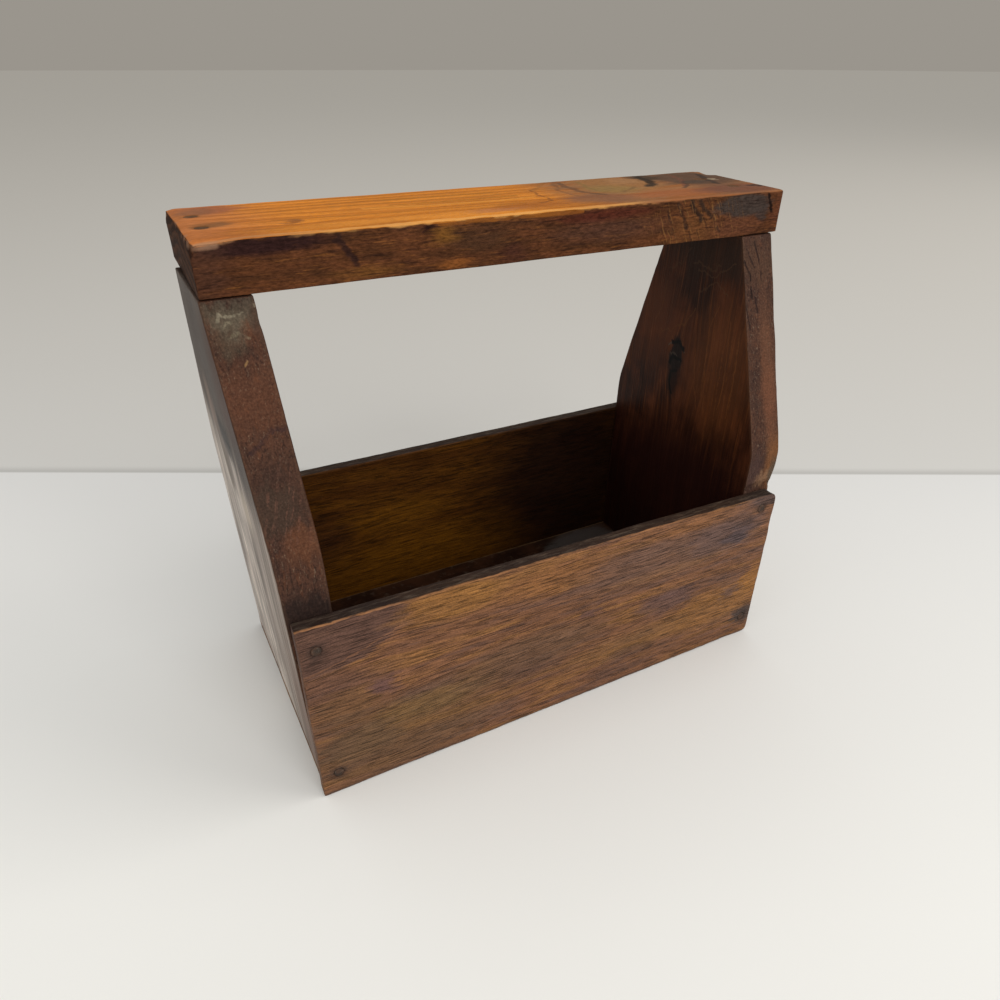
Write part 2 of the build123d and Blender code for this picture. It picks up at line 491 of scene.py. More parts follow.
def nail_heads(node: str, face: Face) -> list[np.ndarray]:
    """Finds the middle of each nail head in a node that holds a row of nails.

    Args:
        node: name of the frame's node.
        face: the face of the board that the nails enter.

    Returns:
        One place for each nail, on the outer face of its head.
    """
    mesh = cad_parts[node].data
    points = np.zeros(len(mesh.vertices) * 3)
    mesh.vertices.foreach_get("co", points)
    points = points.reshape(-1, 3) / MM
    axis, way = face.value
    spread = points.max(axis=0) - points.min(axis=0)
    spread[axis] = 0
    along = int(spread.argmax())
    order = np.argsort(points[:, along])
    gaps = np.diff(points[order, along])
    groups = np.split(order, np.nonzero(gaps > NAIL_GAP)[0] + 1)
    heads = []
    for group in groups:
        middle = (points[group].max(axis=0) + points[group].min(axis=0)) / 2
        middle[axis] = (points[group, axis] * way).max() * way
        heads.append(middle)
    return heads


def nail_tree() -> bpy.types.NodeTree:
    """Builds the tree that drives one nail at each point, with the sizes as its inputs.

    Returns:
        The node tree.
    """
    tree = bpy.data.node_groups.new("drive_nails", "GeometryNodeTree")
    face = tree.interface
    face.new_socket("Places", in_out="INPUT", socket_type="NodeSocketGeometry")
    sizes = ("Head diameter", "Head thickness", "Shank diameter", "Length", "Point", "Dents", "Seed")
    for label in sizes:
        face.new_socket(label, in_out="INPUT", socket_type="NodeSocketFloat")
    face.new_socket("Turn", in_out="INPUT", socket_type="NodeSocketVector")
    face.new_socket("Steel", in_out="INPUT", socket_type="NodeSocketMaterial")
    face.new_socket("Nails", in_out="OUTPUT", socket_type="NodeSocketGeometry")
    given = tree.nodes.new("NodeGroupInput").outputs

    def part(first: Any, factor: float) -> Any:
        """A share of a size."""
        return add(tree, MATH, {0: first, 1: factor}, operation="MULTIPLY")

    def moved(shape: Any, height: Any, turn: tuple[float, float, float] = (0.0, 0.0, 0.0)) -> Any:
        """A shape turned and lifted to a height."""
        lift = add(tree, JOIN, {"Z": height})
        return add(tree, "GeometryNodeTransform", {0: shape, "Translation": lift, "Rotation": turn})

    shank_radius = part(given["Shank diameter"], 0.5)
    straight = add(tree, MATH, {0: given["Length"], 1: given["Point"]}, operation="SUBTRACT")
    links = {"Vertices": 28, "Side Segments": 3, "Fill Segments": 4}
    links |= {"Radius": part(given["Head diameter"], 0.5), "Depth": given["Head thickness"]}
    head = add(tree, "GeometryNodeMeshCylinder", links)
    links = {"Vertices": 12, "Side Segments": 8, "Radius": shank_radius, "Depth": straight}
    shank = add(tree, "GeometryNodeMeshCylinder", links)
    links = {"Vertices": 12, "Radius Top": 0.15 * MM, "Radius Bottom": shank_radius, "Depth": given["Point"]}
    tip = add(tree, "GeometryNodeMeshCone", links)
    gather = tree.nodes.new("GeometryNodeJoinGeometry")
    tree.links.new(moved(head, part(given["Head thickness"], -0.5)), gather.inputs[0])
    tree.links.new(moved(shank, part(straight, -0.5)), gather.inputs[0])
    tree.links.new(moved(tip, part(straight, -1.0), (math.pi, 0.0, 0.0)), gather.inputs[0])
    points = add(tree, "GeometryNodeMeshToPoints", {"Mesh": given["Places"]})
    small = {2: -0.04, 3: 0.04, "Seed": 11}
    lean = add(tree, "FunctionNodeRandomValue", small, out=1, data_type="FLOAT")
    turned = add(tree, VECTOR, {0: given["Turn"], 1: lean}, operation="ADD")
    links = {"Points": points, "Instance": gather.outputs[0], "Rotation": turned}
    driven = add(tree, "GeometryNodeInstanceOnPoints", links)
    real = add(tree, "GeometryNodeRealizeInstances", {"Geometry": driven})
    links = {"W": given["Seed"], "Scale": 900.0, "Detail": 2.0}
    rough = add(tree, NOISE, links, out="Color", noise_dimensions="4D")
    centred = add(tree, VECTOR, {0: rough, 1: (0.5, 0.5, 0.5)}, operation="SUBTRACT")
    push = add(tree, VECTOR, {0: centred, "Scale": given["Dents"]}, operation="SCALE")
    beaten = add(tree, "GeometryNodeSetPosition", {"Geometry": real, "Offset": push})
    smooth = add(tree, "GeometryNodeSetShadeSmooth", {0: beaten})
    dressed = add(tree, "GeometryNodeSetMaterial", {"Geometry": smooth, "Material": given["Steel"]})
    result = tree.nodes.new("NodeGroupOutput")
    tree.links.new(dressed, result.inputs[0])
    return tree


@dataclass
class Nails:
    """The nails of one joint: where they are driven, and their sizes."""

    node: str
    face: Face
    head_diameter: float = 4.5
    head_thickness: float = 0.85
    shank_diameter: float = 1.8
    length: float = 29.0
    point: float = 2.6
    dents: float = 0.16  # how uneven the hammer and the rust left each head
    seed: float = 7.0

    def turn(self) -> tuple[float, float, float]:
        """Rotation that stands a nail's head out of its face.

        Returns:
            The rotation, as Euler angles in radians.
        """
        axis, way = self.face.value
        if axis == Axis.DEPTH.value:
            return (-way * math.pi / 2, 0.0, 0.0)
        return (0.0 if way > 0 else math.pi, 0.0, 0.0)

    def inputs(self, steel: bpy.types.Material) -> dict[str, Any]:
        """The values of the nail tree's inputs, by name, in metres.

        Args:
            steel: the nails' material.

        Returns:
            Each input's name with its value.
        """
        return {
            "Head diameter": self.head_diameter * MM,
            "Head thickness": self.head_thickness * MM,
            "Shank diameter": self.shank_diameter * MM,
            "Length": self.length * MM,
            "Point": self.point * MM,
            "Dents": self.dents * MM,
            "Seed": self.seed,
            "Turn": self.turn(),
            "Steel": steel,
        }

    def build(self, tree: bpy.types.NodeTree, finish: "Finish") -> bpy.types.Object:
        """Drives the nails and lets them stand for their node.

        Args:
            tree: the tree that drives nails.
            finish: the nails' finish.

        Returns:
            The nails as one plain mesh.
        """
        places = bpy.data.meshes.new(self.node + "_places")
        places.from_pydata([tuple(head * MM) for head in nail_heads(self.node, self.face)], [], [])
        row = bpy.data.objects.new(self.node + "_row", places)
        bpy.context.scene.collection.objects.link(row)
        modifier = row.modifiers.new("drive", "NODES")
        modifier.node_group = tree
        values = self.inputs(finish.material())
        for socket in tree.interface.items_tree:
            if socket.name in values:
                modifier[socket.identifier] = values[socket.name]
        seen = row.evaluated_get(bpy.context.evaluated_depsgraph_get())
        mesh = bpy.data.meshes.new_from_object(seen)
        row.modifiers.remove(modifier)
        bpy.data.objects.remove(row)
        mesh.name = self.node
        nails = bpy.data.objects.new("driven_" + self.node, mesh)
        bpy.context.scene.collection.objects.link(nails)
        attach(nails, BODY)
        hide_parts(self.node)
        log.info("%s: %d faces", nails.name, len(mesh.polygons))
        return nails


# ---------------------------------------------------------------- finishes


@dataclass(frozen=True)
class Patch:
    """A stained, worn or dirty area, or an area of painted shade or sheen, with a torn rim."""

    middle: tuple[float, float, float]
    reach: tuple[float, float, float]
    colour: str = ""  # none where the patch is only a mask
    strength: float = 0.8
    fade: float = 0.4  # share of the reach over which the rim fades


@dataclass(frozen=True)
class Stroke:
    """A crack, a scratch, a dark line of the grain or a painted highlight, drawn through points."""

    points: tuple[tuple[float, float, float], ...]
    width: float
    colour: str = ""  # none where the stroke is only a mask
    strength: float = 0.8


@dataclass(frozen=True)
class Knot:
    """A knot that the grain bends round: its middle and its reach along and across."""

    middle: tuple[float, float, float]
    along: float
    across: float
    pull: float = 0.8


class Grain:
    """Millimetre places on a board, turned to run along, across and through its grain."""

    def __init__(
        self,
        tree: Any,
        along: Axis,
        across: Axis,
        knots: tuple[Knot, ...] = (),
        tear: tuple[float, float] = (12.0, 4.0),
    ) -> None:
        """Lays the places out, bends them round the knots and tears them for the patches.

        Args:
            tree: the material's node tree.
            along: the axis that the grain runs along.
            across: the axis across the board's face.
            knots: knots that push the grain aside.
            tear: how far the rim of a patch strays, along the grain and across it.
        """
        self.tree = tree
        place = add(tree, PLACE, out="Object")
        self.place = add(tree, VECTOR, {0: place, "Scale": 1 / MM}, operation="SCALE")
        parts = add(tree, SPLIT, {0: self.place}).node.outputs
        self.along = parts[along.value]
        self.across = parts[across.value]
        self.through = parts[3 - along.value - across.value]
        for knot in knots:
            self.across = self.bend(knot, along, across)
        self.straight = add(tree, JOIN, {0: self.along, 1: self.across, 2: self.through})
        reach = [0.0, 0.0, 0.0]
        reach[along.value], reach[across.value] = tear
        self.torn = self.strayed(self.joined(14.0, 4.0), 4.0, tuple(reach))
        small = tuple(0.35 * part for part in reach)
        self.wavy = self.strayed(self.joined(9.0, 5.0), 2.0, small)

    def strayed(self, where: Any, detail: float, reach: tuple[float, float, float]) -> Any:
        """The places, each moved by noise as far as a reach on each axis.

        Args:
            where: the places in steps of the noise.
            detail: how many finer layers the noise has.
            reach: the furthest move on each axis.

        Returns:
            The moved places.
        """
        links = {"Vector": where, "Scale": 1.0, "Detail": detail, "Roughness": 0.6}
        noise = add(self.tree, NOISE, links, out="Color")
        centred = add(self.tree, VECTOR, {0: noise, 1: (0.5, 0.5, 0.5)}, operation="SUBTRACT")
        moved = tuple(4.0 * part for part in reach)
        links = {0: centred, 1: moved, 2: self.place}
        return add(self.tree, VECTOR, links, operation="MULTIPLY_ADD")

    def bend(self, knot: Knot, along: Axis, across: Axis) -> Any:
        """Pushes the grain's lines aside round one knot.

        Args:
            knot: the knot.
            along: the axis that the grain runs along.
            across: the axis across the board's face.

        Returns:
            The place across the grain, bent.
        """
        tree = self.tree
        aside = add(tree, MATH, {0: self.across, 1: knot.middle[across.value]}, operation="SUBTRACT")
        ahead = add(tree, MATH, {0: self.along, 1: knot.middle[along.value]}, operation="SUBTRACT")
        first = add(tree, MATH, {0: aside, 1: knot.across}, operation="DIVIDE")
        second = add(tree, MATH, {0: ahead, 1: knot.along}, operation="DIVIDE")
        flat = add(tree, JOIN, {0: first, 1: second})
        square = add(tree, VECTOR, {0: flat, 1: flat}, "Value", operation="DOT_PRODUCT")
        down = add(tree, MATH, {0: square, 1: -1.0}, operation="MULTIPLY")
        hold = add(tree, MATH, {0: down}, operation="EXPONENT")
        drawn = add(tree, MATH, {0: hold, 1: knot.pull}, operation="MULTIPLY")
        shift = add(tree, MATH, {0: aside, 1: drawn}, operation="MULTIPLY")
        return add(tree, MATH, {0: self.across, 1: shift}, operation="SUBTRACT")

    def joined(self, length: float, width: float, shift: float = 0.0) -> Any:
        """The places in steps of a length along the grain and a width across it.

        Args:
            length: step along the grain.
            width: step across it.
            shift: picks one pattern out of many.

        Returns:
            The places in those steps.
        """
        step = (1 / length, 1 / width, 1 / width)
        links = {0: self.straight, 1: step, 2: (7.3 * shift, 0.0, 3.1 * shift)}
        return add(self.tree, VECTOR, links, operation="MULTIPLY_ADD")

    def flow(self, length: float, width: float, detail: float = 3.0, shift: float = 0.0) -> Any:
        """Random streaks along the grain, from 0 to 1.

        Args:
            length: length of a streak.
            width: width of a streak.
            detail: how many finer layers are laid over it.
            shift: picks one pattern out of many.

        Returns:
            The streaks' value.
        """
        links = {"Vector": self.joined(length, width, shift), "Scale": 1.0, "Detail": detail}
        return add(self.tree, NOISE, {**links, "Roughness": 0.62})

    def clouds(self, size: float, detail: float = 3.0, shift: float = 0.0) -> Any:
        """Random clouds of a given size, from 0 to 1."""
        links = {"Vector": self.joined(size, size, shift), "Scale": 1.0, "Detail": detail}
        return add(self.tree, NOISE, {**links, "Roughness": 0.6})

    def rings(self, pith: tuple[float, float], spacing: float, waviness: float) -> Any:
        """Yearly rings: 0 in the pale early wood, rising to 1 in the dark late wood.

        Args:
            pith: where the tree's middle lay, across and through the board.
            spacing: distance from one ring to the next.
            waviness: how far a ring strays from a true circle.

        Returns:
            The rings' value.
        """
        tree = self.tree
        aside = add(tree, MATH, {0: self.across, 1: pith[0]}, operation="SUBTRACT")
        below = add(tree, MATH, {0: self.through, 1: pith[1]}, operation="SUBTRACT")
        reach = add(tree, VECTOR, {0: add(tree, JOIN, {0: aside, 1: below})}, "Value", operation="LENGTH")
        drift = self.flow(120.0, 26.0, 2.0, 4.0)
        stray = add(tree, MATH, {0: drift, 1: 2 * waviness, 2: reach}, operation="MULTIPLY_ADD")
        count = add(tree, MATH, {0: stray, 1: spacing}, operation="DIVIDE")
        part = add(tree, MATH, {0: count}, operation="FRACT")
        return self.times(self.above(part, 0.2, 0.85), self.above(part, 1.0, 0.9))

    def above(self, value: Any, low: float, high: float) -> Any:
        """A mask that rises from 0 to 1 between two levels of a value, in either order."""
        links = {"Value": value, "From Min": low, "From Max": high}
        return add(self.tree, RANGE, links, interpolation_type="SMOOTHSTEP")

    def spot(self, patch: Patch) -> Any:
        """A mask for one patch.

        Args:
            patch: the patch.

        Returns:
            The mask, as strong as the patch.
        """
        tree = self.tree
        away = add(tree, VECTOR, {0: self.torn, 1: patch.middle}, operation="SUBTRACT")
        scaled = add(tree, VECTOR, {0: away, 1: patch.reach}, operation="DIVIDE")
        reach = add(tree, VECTOR, {0: scaled}, "Value", operation="LENGTH")
        links = {"Value": reach, "From Min": 1 - patch.fade, "From Max": 1 + patch.fade}
        levels = {"To Min": patch.strength, "To Max": 0.0}
        return add(tree, RANGE, {**links, **levels}, interpolation_type="SMOOTHSTEP")

    def line(self, stroke: Stroke) -> Any:
        """A mask for one stroke: near to any of its straight parts.

        Args:
            stroke: the stroke.

        Returns:
            The mask, as strong as the stroke.
        """
        tree = self.tree
        nearest = None
        for start, end in zip(stroke.points, stroke.points[1:]):
            way = Vector(end) - Vector(start)
            away = add(tree, VECTOR, {0: self.wavy, 1: start}, operation="SUBTRACT")
            scaled = tuple(way / way.length_squared)
            share = add(tree, VECTOR, {0: away, 1: scaled}, "Value", operation="DOT_PRODUCT")
            past = add(tree, MATH, {0: share, 1: 0.0}, operation="MAXIMUM")
            held = add(tree, MATH, {0: past, 1: 1.0}, operation="MINIMUM")
            foot = add(tree, VECTOR, {0: tuple(way), "Scale": held}, operation="SCALE")
            gap = add(tree, VECTOR, {0: away, 1: foot}, "Value", operation="DISTANCE")
            near = gap if nearest is None else add(tree, MATH, {0: nearest, 1: gap}, operation="MINIMUM")
            nearest = near
        links = {"Value": nearest, "From Min": 0.25 * stroke.width, "From Max": 0.75 * stroke.width}
        levels = {"To Min": stroke.strength, "To Max": 0.0}
        return add(tree, RANGE, {**links, **levels}, interpolation_type="SMOOTHSTEP")

    def marked(self, under: Any, marks: tuple) -> Any:
        """Lays patches and strokes over a colour, one after another.

        Args:
            under: the colour below.
            marks: patches and strokes, in order.

        Returns:
            The marked colour.
        """
        for mark in marks:
            mask = self.spot(mark) if isinstance(mark, Patch) else self.line(mark)
            under = self.over(under, mark.colour, mask)
        return under

    def over(self, under: Any, over: Any, mask: Any, strength: float = 1.0) -> Any:
        """Lays one colour over another through a mask. A colour is a socket or a hex code.

        Args:
            under: the colour below.
            over: the colour above.
            mask: how much of it shows, from 0 to 1.
            strength: share of the mask that counts.

        Returns:
            The mixed colour.
        """
        under, over = (linear(c) if isinstance(c, str) else c for c in (under, over))
        if strength != 1.0:
            mask = add(self.tree, MATH, {0: mask, 1: strength}, operation="MULTIPLY")
        return add(self.tree, MIX, {AMOUNT: mask, UNDER: under, OVER: over}, MIXED, data_type="RGBA")

    def shaded(self, colour: Any, value: Any, dark: float, light: float) -> Any:
        """Darkens and lightens a colour by a noise value.

        Args:
            colour: the colour.
            value: the noise, from 0 to 1.
            dark: factor where the noise is low.
            light: factor where it is high.

        Returns:
            The shaded colour.
        """
        links = {"Value": value, "From Min": 0.3, "From Max": 0.7, "To Min": dark, "To Max": light}
        factor = add(self.tree, RANGE, links)
        return add(self.tree, VECTOR, {0: colour, "Scale": factor}, operation="SCALE")

    def toned(self, colour: Any, mask: Any, factor: float) -> Any:
        """Darkens or lightens a colour where a mask is 1."""
        share = self.mixed(mask, factor - 1.0, 1.0)
        return add(self.tree, VECTOR, {0: colour, "Scale": share}, operation="SCALE")

    def saw_marks(self, across: tuple[float, float, float], spacing: float, where: Patch) -> Any:
        """Broken, slanting marks that a coarse saw left.

        Args:
            across: the way across the marks.
            spacing: distance from one mark to the next.
            where: the patch that holds them.

        Returns:
            The marks' mask.
        """
        tree = self.tree
        slant = add(tree, VECTOR, {0: self.place, 1: across}, "Value", operation="DOT_PRODUCT")
        wave = self.mixed(self.clouds(5.0, 2.0, 4.0), 2.5, slant)
        place = add(tree, JOIN, {0: add(tree, MATH, {0: wave, 1: spacing}, operation="DIVIDE")})
        marks = add(tree, NOISE, {"Vector": place, "Scale": 1.0, "Detail": 1.0, "Roughness": 0.7})
        broken = self.above(self.clouds(3.0, 3.0, 6.0), 0.42, 0.58)
        return self.times(self.times(self.above(marks, 0.5, 0.62), self.spot(where)), broken)

    def painted(self, name: str) -> Any:
        """A value that the mesh carries at its points."""
        return add(self.tree, READ, out="Fac", attribute_name=name)

    def facing(self, axis: Axis, way: float, low: float = 0.5, high: float = 0.9) -> Any:
        """A mask of the faces that look one way.

        Args:
            axis: the axis that they look along.
            way: 1 or -1, the way along it.
            low: share of that way where the mask starts.
            high: share where it is full.

        Returns:
            The mask.
        """
        normal = add(self.tree, PLACE, out="Normal")
        parts = add(self.tree, SPLIT, {0: normal}).node.outputs
        turned = add(self.tree, MATH, {0: parts[axis.value], 1: way}, operation="MULTIPLY")
        return self.above(turned, low, high)

    def times(self, first: Any, second: Any) -> Any:
        """Two masks at once."""
        return add(self.tree, MATH, {0: first, 1: second}, operation="MULTIPLY")

    def most(self, first: Any, second: Any) -> Any:
        """Either of two masks."""
        return add(self.tree, MATH, {0: first, 1: second}, operation="MAXIMUM")

    def mixed(self, value: Any, size: float, base: Any) -> Any:
        """A base value with a share of another one added."""
        return add(self.tree, MATH, {0: value, 1: size, 2: base}, operation="MULTIPLY_ADD")

    def rusted(self, colour: Any, stain: str, strength: float) -> Any:
        """Lays the stain round the nails over a colour."""
        ring = self.mixed(self.clouds(3.0, 4.0, 9.0), 0.9, self.painted("rust"))
        return self.over(colour, stain, self.above(ring, 0.6, 1.2), strength)

    def rubbed(self, colour: Any, wood: str, strength: float) -> Any:
        """Lays bare, rubbed wood over a colour along the edges."""
        worn = self.mixed(self.clouds(7.0, 4.0, 6.0), 1.1, self.painted("edge"))
        return self.over(colour, wood, self.above(worn, 0.9, 1.4), strength)

    def finish(self, colour: Any, roughness: Any, relief: Any, depth: float, shine: float) -> None:
        """Ends the material: stained wood with a thin varnish.

        Args:
            colour: colour socket.
            roughness: roughness socket.
            relief: height of the surface, from 0 to 1.
            depth: what a height of 1 is in millimetres.
            shine: how much the varnish mirrors, from 0 to 1.
        """
        bump = add(self.tree, RELIEF, {"Strength": 1.0, "Distance": depth * MM, "Height": relief})
        links = {"Base Color": colour, "Roughness": roughness, "Specular IOR Level": shine, "Normal": bump}
        add(self.tree, "ShaderNodeOutputMaterial", {0: add(self.tree, SURFACE, links)})


@dataclass(frozen=True)
class Finish:
    """A finish makes one material, once, and names the record's slot."""

    slot: str = ""
    name: str = ""

    def material(self) -> bpy.types.Material:
        """The finish's material, made when it is first asked for.

        Returns:
            The material.
        """
        made = bpy.data.materials.get(self.name)
        if made is None:
            made = bpy.data.materials.new(self.name)
            made.use_nodes = True
            made.node_tree.nodes.clear()
            self.paint(made.node_tree)
        return made

    def paint(self, tree: Any) -> None:
        """Fills the node tree."""
        raise NotImplementedError


TOP = 236.8  # height of the handle's top, where its marks lie
SIDE = -25  # depth of the handle's front side
FRONT = -68  # depth of the front board's outer face
BACK_INSIDE = 61  # depth of the back board's inner face


@dataclass(frozen=True)
class VarnishedPine(Finish):
    """The handle: pine with an amber stain, planed on top and rubbed by hands.

    The eye sees clear orange with fine straight lines on top, a big knot that turns the
    lines and darkens the right end, and dark mottled sawn sides with painted orange glints.
    """

    slot: str = "handle_wood"
    name: str = "pine_planed_amber_varnish"
    marks: tuple = (
        # Painted sheen: a brighter orange band over the front half of the top's middle.
        Patch((-40, -14, TOP), (60, 5, 5), "#dd8d34", 0.7, 0.6),
        Patch((-118, 38, TOP), (14, 10, 5), "#96573c", 0.7, 0.4),
        Patch((-130, 8, TOP), (10, 40, 5), "#b9703c", 0.6, 0.6),
        Patch((-123, 35, TOP), (8.0, 6.5, 5), "#80583f", 0.6, 0.6),
        Patch((-119.5, 4.5, TOP), (6.5, 4.2, 5), "#74502f", 0.7, 0.6),
        Patch((10, -9, TOP), (18, 8, 5), "#96531f", 0.65, 0.6),
        Patch((-92, -1.5, TOP), (3.0, 5.0, 5), "#74482c", 0.7, 0.5),
        Patch((-11, -13, TOP), (12, 4, 5), "#a96a45", 0.6, 0.5),
        Patch((44, -6, TOP), (18, 11, 5), "#80553c", 0.75, 0.4),
        Patch((86, -9, TOP), (26, 10, 5), "#9c5a32", 0.75, 0.4),
        Patch((120, -10, TOP), (22, 14, 5), "#6e4536", 0.8, 0.4),
        Patch((76, 27, TOP), (22, 24, 5), "#96683c", 0.85, 0.25),
        Patch((63, 14, TOP), (12, 12, 5), "#8c7040", 0.7, 0.5),
        Patch((84, 34, TOP), (10, 10, 5), "#a1754e", 0.6, 0.6),
        Patch((124, 28, TOP), (25, 24, 5), "#513e33", 0.85, 0.35),
        Patch((113, 16, TOP), (11, 6, 5), "#463b33", 0.6, 0.5),
        Patch((101, 40, TOP), (8, 9, 5), "#3a3025", 0.8, 0.4),
        Stroke(((-58, 14, TOP), (-30, 10, TOP), (0, 8, TOP), (18, 10, TOP)), 3.0, "#dc9238", 0.6),
        Stroke(((-44, 31, TOP), (-12, 29.5, TOP), (6, 30, TOP)), 3.0, "#a3681f", 0.6),
        Stroke(((-70, 24, TOP), (-40, 23, TOP), (8, 23, TOP)), 2.4, "#a96c22", 0.5),
        Stroke(((-46, 17.5, TOP), (-14, 15.5, TOP), (12, 17, TOP)), 3.0, "#9f641c", 0.6),
        Stroke(((-96, 4, TOP), (-60, 1, TOP), (-20, -1, TOP), (8, -2, TOP)), 3.0, "#a8661f", 0.5),
        Stroke(((46, 48, TOP), (37, 36, TOP), (28, 27, TOP)), 2.6, "#96602c", 0.6),
        Stroke(
            ((14, -5.5, TOP), (20.5, -2, TOP), (23, 6, TOP), (23.6, 18, TOP), (27, 28, TOP)),
            1.6,
            "#6f4220",
            0.55,
        ),
        Stroke(((38, 4, TOP), (37.5, 14, TOP), (39.5, 26, TOP)), 2.0, "#6c4a33", 0.5),
        Stroke(((51, 2, TOP), (47, 10, TOP), (47, 26, TOP), (52, 44, TOP)), 3.4, "#5b4130", 0.62),
        Stroke(((43, 28, TOP), (46, 38, TOP), (50, 46, TOP)), 2.4, "#654630", 0.45),
        Stroke(((63, 3, TOP), (69, 8, TOP), (77, 15, TOP)), 2.0, "#735233", 0.5),
        Stroke(((55, 10, TOP), (56, 26, TOP), (62, 42, TOP)), 2.2, "#7d6537", 0.5),
        Stroke(((86, 14, TOP), (91, 19, TOP), (97, 29, TOP), (99, 44, TOP)), 4.6, "#33281f", 0.92),
        Stroke(((101, 6, TOP), (108, 16, TOP), (116, 30, TOP), (120, 42, TOP)), 2.8, "#6f4433", 0.7),
        Stroke(((98, 2, TOP), (106, 10, TOP), (112, 22, TOP)), 2.0, "#40322b", 0.6),
        Stroke(((122, 6, TOP), (128, 22, TOP), (136, 38, TOP)), 3.0, "#332a26", 0.7),
        Patch((134, -6.5, TOP), (3.4, 3.6, 5), "#34201c", 0.85, 0.4),
        Patch((130.7, 20, TOP), (1.8, 3.0, 5), "#9c8a72", 0.8, 0.4),
    )
    side_marks: tuple = (
        Patch((-108, SIDE, 234), (24, 3, 3.6), "#251617", 0.9, 0.35),
        Patch((-129, SIDE, 227), (9, 3, 12), "#452c22", 0.6, 0.6),
        Patch((-46, SIDE, 234), (3.0, 3, 2.0), "#210f10", 0.85, 0.4),
        Patch((-40, SIDE, 231.5), (6, 3, 3.2), "#7c5220", 0.55, 0.6),
        # Painted glints: the next two are orange flecks that stand in for the varnish's sparkle.
        Patch((-71, SIDE, 221), (12, 3, 2.0), "#7b5023", 0.4, 0.6),
        Patch((-36, SIDE, 220.5), (8, 3, 2.0), "#864f24", 0.6, 0.5),
        Patch((-24, SIDE, 229), (13, 3, 5), "#3c2a1e", 0.55, 0.6),
        Patch((-9, SIDE, 222), (6, 3, 4), "#3d211d", 0.5, 0.6),
        Patch((34, SIDE, 233), (24, 3, 2.6), "#481f17", 0.75, 0.5),
        Patch((38, SIDE, 227), (26, 3, 4.4), "#452f27", 0.55, 0.6),
        Patch((86, SIDE, 225), (14, 3, 7), "#6c4426", 0.5, 0.6),
        Patch((108, SIDE, 223), (16, 3, 5), "#593626", 0.6, 0.5),
        Patch((111, SIDE, 231.5), (17, 3, 5.0), "#39312d", 0.92, 0.25),
        Patch((124, SIDE, 227), (4, 3, 4), "#3a302c", 0.8, 0.4),
        Stroke(((-81, SIDE, 235), (-79, SIDE, 230), (-74.5, SIDE, 224)), 2.0, "#261817", 0.8),
        Stroke(((79, SIDE, 236.5), (82, SIDE, 232), (87, SIDE, 227)), 2.4, "#271e19", 0.85),
        Stroke(((84, SIDE, 236), (88, SIDE, 231.5), (92, SIDE, 228)), 2.0, "#2c221c", 0.8),
        Stroke(((73, SIDE, 235), (75, SIDE, 230), (79, SIDE, 224)), 1.5, "#2f211b", 0.75),
        Stroke(((68, SIDE, 231), (70, SIDE, 226), (73, SIDE, 221)), 1.2, "#33241c", 0.7),
        Stroke(((94, SIDE, 229), (96, SIDE, 225), (99, SIDE, 221)), 1.3, "#2f211b", 0.7),
        Stroke(((126.5, SIDE, 235.5), (128, SIDE, 231), (130.5, SIDE, 227.5)), 2.0, "#130d0b", 0.92),
        Patch((134, SIDE, 228), (4, 3, 8), "#5c3424", 0.5, 0.5),
    )

    def paint(self, tree: Any) -> None:
        """Paints the top, the sawn sides, the nail stains and the rubbed edge, with painted sheen, glints
        and a rim highlight.

        Args:
            tree: the material's node tree.
        """
        knots = (Knot((76, 27, TOP), 40.0, 28.0, 0.7), Knot((-92, -1.5, TOP), 7.0, 4.0, 0.6))
        grain = Grain(tree, Axis.LENGTH, Axis.DEPTH, knots, (5.0, 2.4))
        torn = add(tree, SPLIT, {0: grain.torn})
        top = grain.over("#d07f27", "#bd7440", grain.above(torn, -85.0, -128.0))
        top = grain.over(top, "#94653f", grain.above(torn, 18.0, 50.0))
        top = grain.over(top, "#9c5514", grain.rings((-20.0, 175.0), 4.5, 5.0), 0.5)
        thread = grain.flow(50.0, 2.4, 3.0)
        top = grain.shaded(top, thread, 0.82, 1.18)
        top = grain.shaded(top, grain.flow(90.0, 6.0, 3.0, 2.0), 0.84, 1.14)
        top = grain.marked(top, self.marks)
        fleck = grain.flow(2.4, 0.9, 2.0, 5.0)
        top = grain.shaded(top, fleck, 0.84, 1.14)
        side = self.sawn(grain)
        sawn = Patch((84, SIDE, 226), (26, 6, 11), strength=1.0, fade=0.35)
        saw = grain.saw_marks((1.0, 0.0, 0.42), 1.15, sawn)
        side = grain.over(side, "#8c6237", saw, 0.4)
        cut_across = Patch((84, SIDE, 229), (22, 6, 10), strength=1.0, fade=0.35)
        cut = grain.saw_marks((1.0, 0.0, 0.5), 1.6, cut_across)
        side = grain.over(side, "#2a1b16", cut, 0.7)
        up = grain.facing(Axis.HEIGHT, 1.0)
        colour = grain.over(side, top, up)
        ends = grain.most(grain.facing(Axis.LENGTH, 1.0), grain.facing(Axis.LENGTH, -1.0))
        dry = grain.over("#2c1c16", "#4d3122", grain.rings((12.0, 120.0), 4.5, 5.0))
        colour = grain.over(colour, grain.shaded(dry, grain.clouds(0.9, 3.0), 0.7, 1.2), ends, 0.85)
